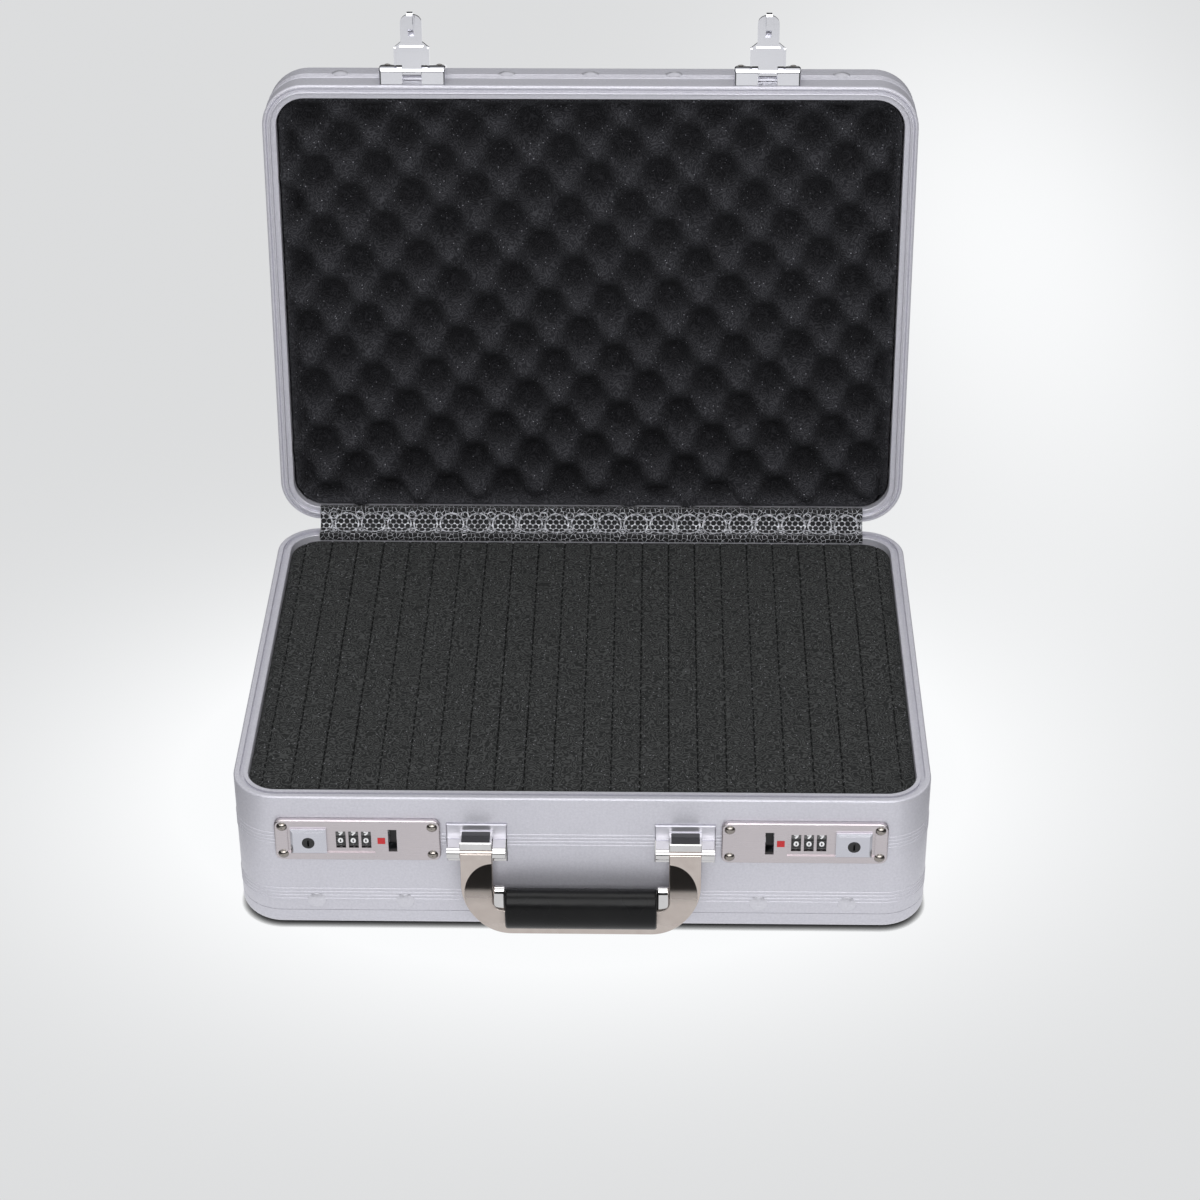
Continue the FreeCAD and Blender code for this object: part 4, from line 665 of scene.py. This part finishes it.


# Cloth strip over the hinge
# A band of coated cloth glued inside both rims. It is black with a foil print of rings
# filled with honeycomb cells, and is shaped round the crease with the lid open.
def printed_cloth():
    """Tightly woven polyester with a silver foil print, worn in places. Its threads
    are drawn 1 mm apart, so that they show."""
    net_gap = 0.0033
    net_half_line = 0.045
    honeycomb_level = -0.98
    ring_line = 0.0005
    spot_line = 0.0004
    high_spot_rise = 0.0068
    low_spot_drop = 0.0066
    material, tree, shader = new_material("foil_printed_cloth")
    print_map = add_node(tree, "ShaderNodeUVMap", {"uv_map": "cloth"}).outputs[0]
    parts = add_node(tree, "ShaderNodeSeparateXYZ", inputs={0: print_map})

    def reach(shift, height):
        """Distance from the nearest of a row of centres, one ring pitch apart."""
        moved = add_node(tree, "ShaderNodeMath", {"operation": "ADD"},
                         {0: parts.outputs[0], 1: shift})
        across = add_node(tree, "ShaderNodeMath", {"operation": "PINGPONG"},
                          {0: moved, 1: ring_pitch / 2})
        up = add_node(tree, "ShaderNodeMath", {"operation": "SUBTRACT"},
                      {0: parts.outputs[1], 1: height})
        flat = add_node(tree, "ShaderNodeCombineXYZ", inputs={0: across, 1: up})
        return add_node(tree, "ShaderNodeVectorMath", {"operation": "LENGTH"},
                        {0: flat}).outputs["Value"]

    def outline(distance, radius, half_width):
        """1 on a circle of that radius, 0 beside it."""
        return add_node(tree, "ShaderNodeMath", {"operation": "COMPARE"},
                        {0: distance, 1: radius, 2: half_width})

    waves = []
    rate = 4 * math.pi / math.sqrt(3) / cell_pitch
    for turn in (90, 210, 330):
        way = (rate * math.cos(math.radians(turn)), rate * math.sin(math.radians(turn)), 0)
        phase = add_node(tree, "ShaderNodeVectorMath", {"operation": "DOT_PRODUCT"},
                         {0: print_map, 1: way})
        waves.append(add_node(tree, "ShaderNodeMath", {"operation": "COSINE"},
                              {0: phase.outputs["Value"]}))
    two = add_node(tree, "ShaderNodeMath", {"operation": "ADD"}, {0: waves[0], 1: waves[1]})
    three = add_node(tree, "ShaderNodeMath", {"operation": "ADD"}, {0: two, 1: waves[2]})
    honeycomb = add_node(tree, "ShaderNodeMath", {"operation": "LESS_THAN"},
                         {0: three, 1: honeycomb_level})
    net = add_node(tree, "ShaderNodeTexVoronoi", {
        "feature": "DISTANCE_TO_EDGE", "voronoi_dimensions": "2D"},
        {"Vector": print_map, "Scale": 1 / net_gap, "Randomness": 0.9})
    scribble = add_node(tree, "ShaderNodeMath", {"operation": "LESS_THAN"},
                        {0: net.outputs["Distance"], 1: net_half_line})
    centre = reach(0.0, ring_height)
    high_spot = reach(ring_pitch / 2, ring_height + high_spot_rise)
    low_spot = reach(ring_pitch / 2, ring_height - low_spot_drop)
    within = add_node(tree, "ShaderNodeMath", {"operation": "LESS_THAN"},
                      {0: centre, 1: ring_radius})
    foil = add_node(tree, "ShaderNodeMix", {"data_type": "FLOAT"},
                    {"Factor": within, 2: scribble, 3: honeycomb})
    for mark in (outline(centre, ring_radius, ring_line), outline(high_spot, 0.0027, spot_line),
                 outline(low_spot, 0.0025, spot_line), outline(low_spot, 0.0, 0.0011)):
        foil = add_node(tree, "ShaderNodeMath", {"operation": "MAXIMUM"}, {0: foil, 1: mark})
    threads = add_node(tree, "ShaderNodeTexWave", {"bands_direction": "X"},
                       {"Vector": print_map, "Scale": 2 / 0.0063, "Distortion": 0.4})
    worn = add_node(tree, "ShaderNodeTexNoise", inputs={
        "Vector": print_map, "Scale": 1 / 0.003, "Detail": 2})
    shine = add_node(tree, "ShaderNodeMapRange", inputs={
        "Value": worn, "From Min": 0.35, "From Max": 0.65, "To Min": 0.16, "To Max": 1.0})
    printed = add_node(tree, "ShaderNodeMath", {"operation": "MULTIPLY"}, {0: foil, 1: shine})
    colour = add_node(tree, "ShaderNodeMix", {"data_type": "RGBA"},
                      {"Factor": printed, 6: linear("08080B"), 7: linear("E2E3EA")})
    gloss = add_node(tree, "ShaderNodeMapRange", inputs={
        "Value": printed, "To Min": 0.8, "To Max": 0.4})
    bump = add_node(tree, "ShaderNodeBump", inputs={
        "Strength": 0.3, "Distance": 0.0001, "Height": threads.outputs["Fac"]})
    set_inputs(tree, shader, {"Base Color": colour.outputs[2], "Roughness": gloss, "Normal": bump,
                              "Sheen Weight": 0.05})
    return material


def strip_profile():
    """Middle line of the strip, as (y, z) points: inside the base rim, over it, round the
    crease, up the lid's edge and inside the lid's rim."""
    lean = lid_angle - math.pi / 2

    def on_lid(run, out):
        return Vector((hinge_line.y + run * math.sin(lean) - out * math.cos(lean),
                       hinge_line.z + run * math.cos(lean) + out * math.sin(lean)))

    def rounded(before, corner, after, radius=0.0007):
        start = corner + (before - corner).normalized() * radius
        end = corner + (after - corner).normalized() * radius
        return [start.lerp(corner, i / 4).lerp(corner.lerp(end, i / 4), i / 4) for i in range(5)]

    foot = Vector((0.1549, 0.1022))
    base_corner = Vector((0.1549, 0.1073))
    bend_centre = Vector((0.16137, 0.1127))
    bend = 0.0054
    lid_rim = 0.0141
    lid_corner = on_lid(lid_rim, 0.0022)
    tail = on_lid(lid_rim, -0.0034)
    away = lid_corner - bend_centre
    last = math.atan2(away.y, away.x) - math.acos(bend / away.length)
    arc = [bend_centre + bend * Vector((math.cos(a), math.sin(a)))
           for a in [-math.pi / 2 + (last + math.pi / 2) * i / 10 for i in range(11)]]
    points = [foot.lerp(base_corner, i / 4) for i in range(4)]
    points += rounded(foot, base_corner, arc[0])
    points += [points[-1].lerp(arc[0], i / 4) for i in range(1, 4)] + arc
    points += [arc[-1].lerp(lid_corner, i / 6) for i in range(1, 6)]
    points += rounded(arc[-1], lid_corner, tail)
    return points + [lid_corner.lerp(tail, i / 4) for i in range(1, 5)]


ring_pitch = 0.0194
ring_height = 0.0168
ring_radius = 0.0086
cell_pitch = 0.0043
strip_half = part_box("hinge_strip")[1].x
strip_thickness = 0.0008
line = strip_profile()
steps = 120
cloth = bmesh.new()
cloth_uv = cloth.loops.layers.uv.new("cloth")
rows = []
travel = [0.0]
for a, b in zip(line, line[1:]):
    travel.append(travel[-1] + (b - a).length)
for point in line:
    row = []
    for step in range(steps + 1):
        x = -strip_half + 2 * strip_half * step / steps
        row.append(cloth.verts.new((x, point.x, point.y)))
    rows.append(row)
for i in range(len(rows) - 1):
    for j in range(steps):
        face = cloth.faces.new([rows[i][j], rows[i][j + 1], rows[i + 1][j + 1], rows[i + 1][j]])
        face.smooth = True
        for loop, (u, v) in zip(face.loops, ((j, i), (j + 1, i), (j + 1, i + 1), (j, i + 1))):
            loop[cloth_uv].uv = (2 * strip_half * u / steps, travel[v])
cloth_mesh = bpy.data.meshes.new("hinge_cloth")
cloth.to_mesh(cloth_mesh)
cloth.free()
cloth_piece = new_piece("hinge_cloth", cloth_mesh, printed_cloth(), None)
thicken = cloth_piece.modifiers.new("thickness", "SOLIDIFY")
thicken.thickness = strip_thickness
thicken.offset = 0
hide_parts("hinge_strip")
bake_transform(cloth_piece)


# Combination locks
# Die-cast plates, satin nickel over zinc alloy, with brighter slide buttons. Behind them sit a
# steel housing, the catch bar, the number wheels' shaft and the springs.
def satin_nickel(name, dark, light, rough):
    """Nickel plate over a brushed casting: fine grain along X, about 0.4 mm."""
    material, tree, shader = new_material(name)
    place = add_node(tree, "ShaderNodeTexCoord").outputs["Object"]
    brushed = add_node(tree, "ShaderNodeMapping",
                       inputs={"Vector": place, "Scale": (60, 1500, 2600)})
    grain = add_node(tree, "ShaderNodeTexNoise", inputs={
        "Vector": brushed, "Scale": 1.0, "Detail": 2})
    clouds = add_node(tree, "ShaderNodeTexNoise", inputs={
        "Vector": place, "Scale": 1 / 0.03, "Detail": 1})
    both = add_node(tree, "ShaderNodeMix", {"data_type": "FLOAT"},
                    {"Factor": 0.5, 2: grain, 3: clouds})
    colour = add_node(tree, "ShaderNodeMix", {"data_type": "RGBA"}, {
        "Factor": both, 6: linear(dark), 7: linear(light)})
    gloss = add_node(tree, "ShaderNodeMapRange", inputs={
        "Value": grain, "From Min": 0.3, "From Max": 0.7,
        "To Min": rough * 0.85, "To Max": rough * 1.15})
    bump = add_node(tree, "ShaderNodeBump", inputs={
        "Strength": 0.08, "Distance": 0.00005, "Height": grain})
    set_inputs(tree, shader, {"Base Color": colour.outputs[2], "Roughness": gloss, "Normal": bump,
                              "Metallic": 1.0})
    return material


def moulded_plastic(name, colour, rough, grit):
    """ABS from a fine-textured mould: a slight bump of grit size, and uneven gloss."""
    material, tree, shader = new_material(name)
    place = add_node(tree, "ShaderNodeTexCoord").outputs["Object"]
    texture = add_node(tree, "ShaderNodeTexNoise", inputs={
        "Vector": place, "Scale": 1 / grit, "Detail": 2})
    tint = add_node(tree, "ShaderNodeMix", {"data_type": "RGBA"}, {
        "Factor": texture, 6: linear(colour[0]), 7: linear(colour[1])})
    gloss = add_node(tree, "ShaderNodeMapRange", inputs={
        "Value": texture, "From Min": 0.3, "From Max": 0.7,
        "To Min": rough * 0.85, "To Max": rough * 1.2})
    bump = add_node(tree, "ShaderNodeBump", inputs={
        "Strength": 0.15, "Distance": grit * 0.1, "Height": texture})
    set_inputs(tree, shader, {"Base Color": tint.outputs[2], "Roughness": gloss, "Normal": bump})
    return material


plate_metal = satin_nickel("satin_nickel", "BAB3B6", "C7C0C3", 0.3)
button_metal = satin_nickel("bright_satin_nickel", "B8B8C0", "D2D2DA", 0.17)
rivet_metal = satin_nickel("dark_nickel", "86807C", "9E9892", 0.1)
black_plastic = moulded_plastic("black_abs", ("0A0A0B", "151517"), 0.4, 0.0006)
red_plastic = moulded_plastic("red_abs", ("B01218", "D0232A"), 0.3, 0.0006)
finish_nodes(plate_metal, *["lock_plate_" + side for side in sides])
finish_nodes(button_metal, *["slide_button_" + side for side in sides])
finish_nodes(rivet_metal, "lock_rivets", "hasp_screws")
finish_nodes(black_plastic, *[part + side for side in sides
                              for part in ("key_barrel_", "ejector_")])
finish_nodes(red_plastic, "lock_indicators")
finish_nodes(hinge_steel, *[part + side for side in sides
                            for part in ("lock_housing_", "catch_bar_", "dial_shaft_",
                                         "ejector_spring_", "slide_spring_")])


# Number wheels
# Black plastic wheels with ten faces. The digits are printed in a dull white ink, slightly
# mottled, and all six wheels stand at 0.
wheel_plastic = moulded_plastic("wheel_abs", ("09090A", "141416"), 0.3, 0.0005)
ink, tree, shader = new_material("white_print")
place = add_node(tree, "ShaderNodeTexCoord").outputs["Object"]
mottle = add_node(tree, "ShaderNodeTexNoise", inputs={"Vector": place, "Scale": 1 / 0.0005})
tone = add_node(tree, "ShaderNodeMix", {"data_type": "RGBA"}, {
    "Factor": mottle, 6: linear("D8D8DA"), 7: linear("F6F6F8")})
set_inputs(tree, shader, {"Base Color": tone.outputs[2], "Roughness": 0.5})


def digit_outline(digit, height):
    """Flat mesh of one digit, centred, in the X-Y plane."""
    text = bpy.data.curves.new("digit", "FONT")
    text.body = str(digit)
    text.size = 1.0
    text.offset = digit_boldness
    text.resolution_u = 4
    item = bpy.data.objects.new("digit", text)
    bpy.context.collection.objects.link(item)
    depsgraph = bpy.context.evaluated_depsgraph_get()
    mesh = bpy.data.meshes.new_from_object(item.evaluated_get(depsgraph))
    bpy.data.objects.remove(item)
    xs = [v.co.x for v in mesh.vertices]
    ys = [v.co.y for v in mesh.vertices]
    scale = height / (max(ys) - min(ys))
    middle = Vector(((min(xs) + max(xs)) / 2, (min(ys) + max(ys)) / 2, 0))
    mesh.transform(Matrix.Scale(scale, 4) @ Matrix.Translation(-middle))
    return mesh


digit_height = 0.004
digit_boldness = 0.045
digit_widening = 1.3
ink_thickness = 0.00003
first_digit_angle = 3
face_angle = 36
digit_meshes = [digit_outline(digit, digit_height) for digit in range(10)]
for side in sides:
    for number in (1, 2, 3):
        node = "dial_%d_%s" % (number, side)
        finish_nodes(wheel_plastic, node)
        lo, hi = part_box(node)
        axle = (lo + hi) / 2
        wheel_radius = (hi.y - lo.y) / 2
        ring = bmesh.new()
        for digit, flat in enumerate(digit_meshes):
            first = len(ring.verts)
            ring.from_mesh(flat)
            ring.verts.ensure_lookup_table()
            for vertex in ring.verts[first:]:
                turned = math.radians(first_digit_angle - face_angle * digit)
                angle = turned + vertex.co.y / wheel_radius
                reach = wheel_radius + ink_thickness
                vertex.co = (axle.x + vertex.co.x * digit_widening,
                             axle.y - reach * math.cos(angle),
                             axle.z + reach * math.sin(angle))
        mesh = bpy.data.meshes.new("digits_" + node)
        ring.to_mesh(mesh)
        ring.free()
        new_piece("digits_" + node, mesh, ink, node)


# Hasps on the lid
# Cast zinc brackets and hasps, plated with polished nickel. Each bracket is screwed to the
# lid and holds its sprung hasp on a pin. The hasp ends in a hook for the lock.
hasp_metal = satin_nickel("polished_nickel", "D0D0D6", "E8E8EC", 0.12)
finish_nodes(hasp_metal, *[part + side for side in sides
                           for part in ("hasp_bracket_", "hasp_")])


# Handle
# Cast frame and brackets, plated with polished nickel. On each bracket's cap lies a glossy black
# sheet, a painted reflection of the black lid foam in the polished cap top. The grip is a soft black
# sleeve, closed at each end by a plated collar.
def plated_casting(name, dark, light, rough):
    """Polished nickel plate on zinc alloy: a mirror with a trace of waviness at 8 mm."""
    material, tree, shader = new_material(name)
    place = add_node(tree, "ShaderNodeTexCoord").outputs["Object"]
    swell = add_node(tree, "ShaderNodeTexNoise", inputs={
        "Vector": place, "Scale": 1 / 0.008, "Detail": 1})
    colour = add_node(tree, "ShaderNodeMix", {"data_type": "RGBA"}, {
        "Factor": swell, 6: linear(dark), 7: linear(light)})
    gloss = add_node(tree, "ShaderNodeMapRange", inputs={
        "Value": swell, "To Min": rough * 0.7, "To Max": rough * 1.3})
    bump = add_node(tree, "ShaderNodeBump", inputs={
        "Strength": 0.04, "Distance": 0.0002, "Height": swell})
    set_inputs(tree, shader, {"Base Color": colour.outputs[2], "Roughness": gloss, "Normal": bump,
                              "Metallic": 1.0})
    return material


def dish_arms(material, inner_edge, height, radius, squeeze, lean, run_out):
    """A shallow oval dish on each arm, from its inner edge. It leans back, so it mirrors the
    dark foot of the room. Its foot runs out flush and is less polished."""
    tree, shader, place = opened(material)
    flat = shader.inputs["Normal"].links[0].from_socket
    parts = add_node(tree, "ShaderNodeSeparateXYZ", inputs={0: place})
    either = add_node(tree, "ShaderNodeMath", {"operation": "ABSOLUTE"}, {0: parts.outputs[0]})
    beside = add_node(tree, "ShaderNodeMath", {"operation": "SUBTRACT"}, {0: either, 1: inner_edge})
    above = add_node(tree, "ShaderNodeMath", {"operation": "SUBTRACT"},
                     {0: parts.outputs[2], 1: height})
    flattened = add_node(tree, "ShaderNodeMath", {"operation": "MULTIPLY"}, {0: above, 1: squeeze})
    spot = add_node(tree, "ShaderNodeCombineXYZ", inputs={0: beside, 1: flattened})
    reach = add_node(tree, "ShaderNodeVectorMath", {"operation": "LENGTH"}, {0: spot})
    inside = add_node(tree, "ShaderNodeMapRange", {"interpolation_type": "SMOOTHSTEP"}, {
        "Value": reach.outputs["Value"], "From Min": radius * 0.96, "From Max": radius,
        "To Min": 1.0, "To Max": 0.0})
    rise = add_node(tree, "ShaderNodeMath", {"operation": "ADD"}, {0: above, 1: run_out * 1.5})
    soft = add_node(tree, "ShaderNodeCombineXYZ", inputs={0: rise, 1: run_out})
    curved = add_node(tree, "ShaderNodeVectorMath", {"operation": "LENGTH"}, {0: soft})
    total = add_node(tree, "ShaderNodeMath", {"operation": "ADD"},
                     {0: rise, 1: curved.outputs["Value"]})
    height_map = add_node(tree, "ShaderNodeMath", {"operation": "MULTIPLY"},
                          {0: total, 1: -lean / 2})
    bump = add_node(tree, "ShaderNodeBump", inputs={
        "Strength": 1.0, "Distance": 1.0, "Height": height_map})
    normal = add_node(tree, "ShaderNodeMix", {"data_type": "VECTOR"},
                      {"Factor": inside, 4: flat, 5: bump})
    tree.links.new(normal.outputs[1], shader.inputs["Normal"])
    polish = shader.inputs["Roughness"].links[0].from_socket
    duller = add_node(tree, "ShaderNodeMapRange", {"interpolation_type": "SMOOTHSTEP"}, {
        "Value": above, "From Min": -run_out * 1.5, "From Max": run_out,
        "To Min": 0.42, "To Max": 0.05})
    gloss = add_node(tree, "ShaderNodeMix", {"data_type": "FLOAT"},
                     {"Factor": inside, 2: polish, 3: duller})
    tree.links.new(gloss.outputs[0], shader.inputs["Roughness"])


def satin_from(material, depth, height):
    """Turns the mirror to a pale satin behind that depth and above that height, on the
    upper part of the wall plate."""
    tree, shader, place = opened(material)
    parts = add_node(tree, "ShaderNodeSeparateXYZ", inputs={0: place})
    behind = add_node(tree, "ShaderNodeMath", {"operation": "GREATER_THAN"},
                      {0: parts.outputs[1], 1: depth})
    above = add_node(tree, "ShaderNodeMath", {"operation": "GREATER_THAN"},
                     {0: parts.outputs[2], 1: height})
    satin = add_node(tree, "ShaderNodeMath", {"operation": "MULTIPLY"}, {0: behind, 1: above})
    mirror_tone = shader.inputs["Base Color"].links[0].from_socket
    mirror_gloss = shader.inputs["Roughness"].links[0].from_socket
    tone = add_node(tree, "ShaderNodeMix", {"data_type": "RGBA"},
                    {"Factor": satin, 6: mirror_tone, 7: linear("C3C2CA")})
    gloss = add_node(tree, "ShaderNodeMix", {"data_type": "FLOAT"},
                     {"Factor": satin, 2: mirror_gloss, 3: 0.4})
    set_inputs(tree, shader, {"Base Color": tone.outputs[2], "Roughness": gloss})


def grip_vinyl():
    """Soft PVC sleeve: fine leather grain of about 0.8 mm, with dull patches."""
    material, tree, shader = new_material("soft_vinyl")
    place = add_node(tree, "ShaderNodeTexCoord").outputs["Object"]
    grain = add_node(tree, "ShaderNodeTexVoronoi", inputs={"Vector": place, "Scale": 1 / 0.0008})
    swell = add_node(tree, "ShaderNodeTexNoise", inputs={
        "Vector": place, "Scale": 1 / 0.02, "Detail": 1})
    colour = add_node(tree, "ShaderNodeMix", {"data_type": "RGBA"}, {
        "Factor": swell, 6: linear("0B0B0C"), 7: linear("141415")})
    gloss = add_node(tree, "ShaderNodeMapRange", inputs={
        "Value": swell, "From Min": 0.3, "From Max": 0.7, "To Min": 0.24, "To Max": 0.32})
    fine = add_node(tree, "ShaderNodeBump", inputs={
        "Strength": 0.1, "Distance": 0.0001, "Height": grain.outputs["Distance"]})
    wide = add_node(tree, "ShaderNodeBump", inputs={
        "Strength": 0.25, "Distance": 0.002, "Height": swell, "Normal": fine})
    set_inputs(tree, shader, {"Base Color": colour.outputs[2], "Roughness": gloss, "Normal": wide,
                              "Specular IOR Level": 0.17})
    return material


arm_width = 0.021
cap_depth = 0.0135
satin_height = 0.0118
before_plate = 0.0004
collar_metal = plated_casting("mirror_nickel", "C4C2C2", "D4D3D3", 0.04)
arm_metal = plated_casting("warm_mirror_nickel", "B6ABA5", "C6BDB7", 0.06)
dish_arms(arm_metal, inner_edge=0.0576, height=0.0387, radius=0.0195, squeeze=0.74, lean=0.37,
          run_out=0.007)
bracket_metal = plated_casting("bracket_nickel", "C4C2C2", "D4D3D3", 0.04)
low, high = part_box("handle_bracket_left")
satin_from(bracket_metal, low.y + cap_depth - before_plate, high.z - satin_height)
finish_nodes(bracket_metal, "handle_bracket_left", "handle_bracket_right")
finish_nodes(collar_metal, "grip_end_caps")
finish_nodes(arm_metal, "handle_frame")
finish_nodes(grip_vinyl(), "grip")

cap_top = 0.082
cap_frame = 0.0012
sheet_thickness = 0.0002
sheet_corner = 0.0008
arm_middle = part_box("handle_frame")[1].x - arm_width / 2
# Painted reflection: a glossy black sheet on each cap top stands in for the cap's mirror image of
# the black lid foam.
painted_reflection_black = moulded_plastic("black_reflection_sheet", ("060607", "0C0C0D"), 0.1, 0.0008)
for side, turn in zip(sides, (-1, 1)):
    lo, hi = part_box("handle_bracket_" + side)
    reflection_sheet = rounded_slab("cap_reflection_sheet_" + side, arm_width / 2 - cap_frame, cap_depth / 2 - cap_frame,
                         cap_top, cap_top + sheet_thickness, sheet_corner, 4)
    reflection_sheet.transform(Matrix.Translation((turn * arm_middle, lo.y + cap_depth / 2, 0)))
    new_piece("cap_reflection_sheet_" + side, reflection_sheet, painted_reflection_black, "base")
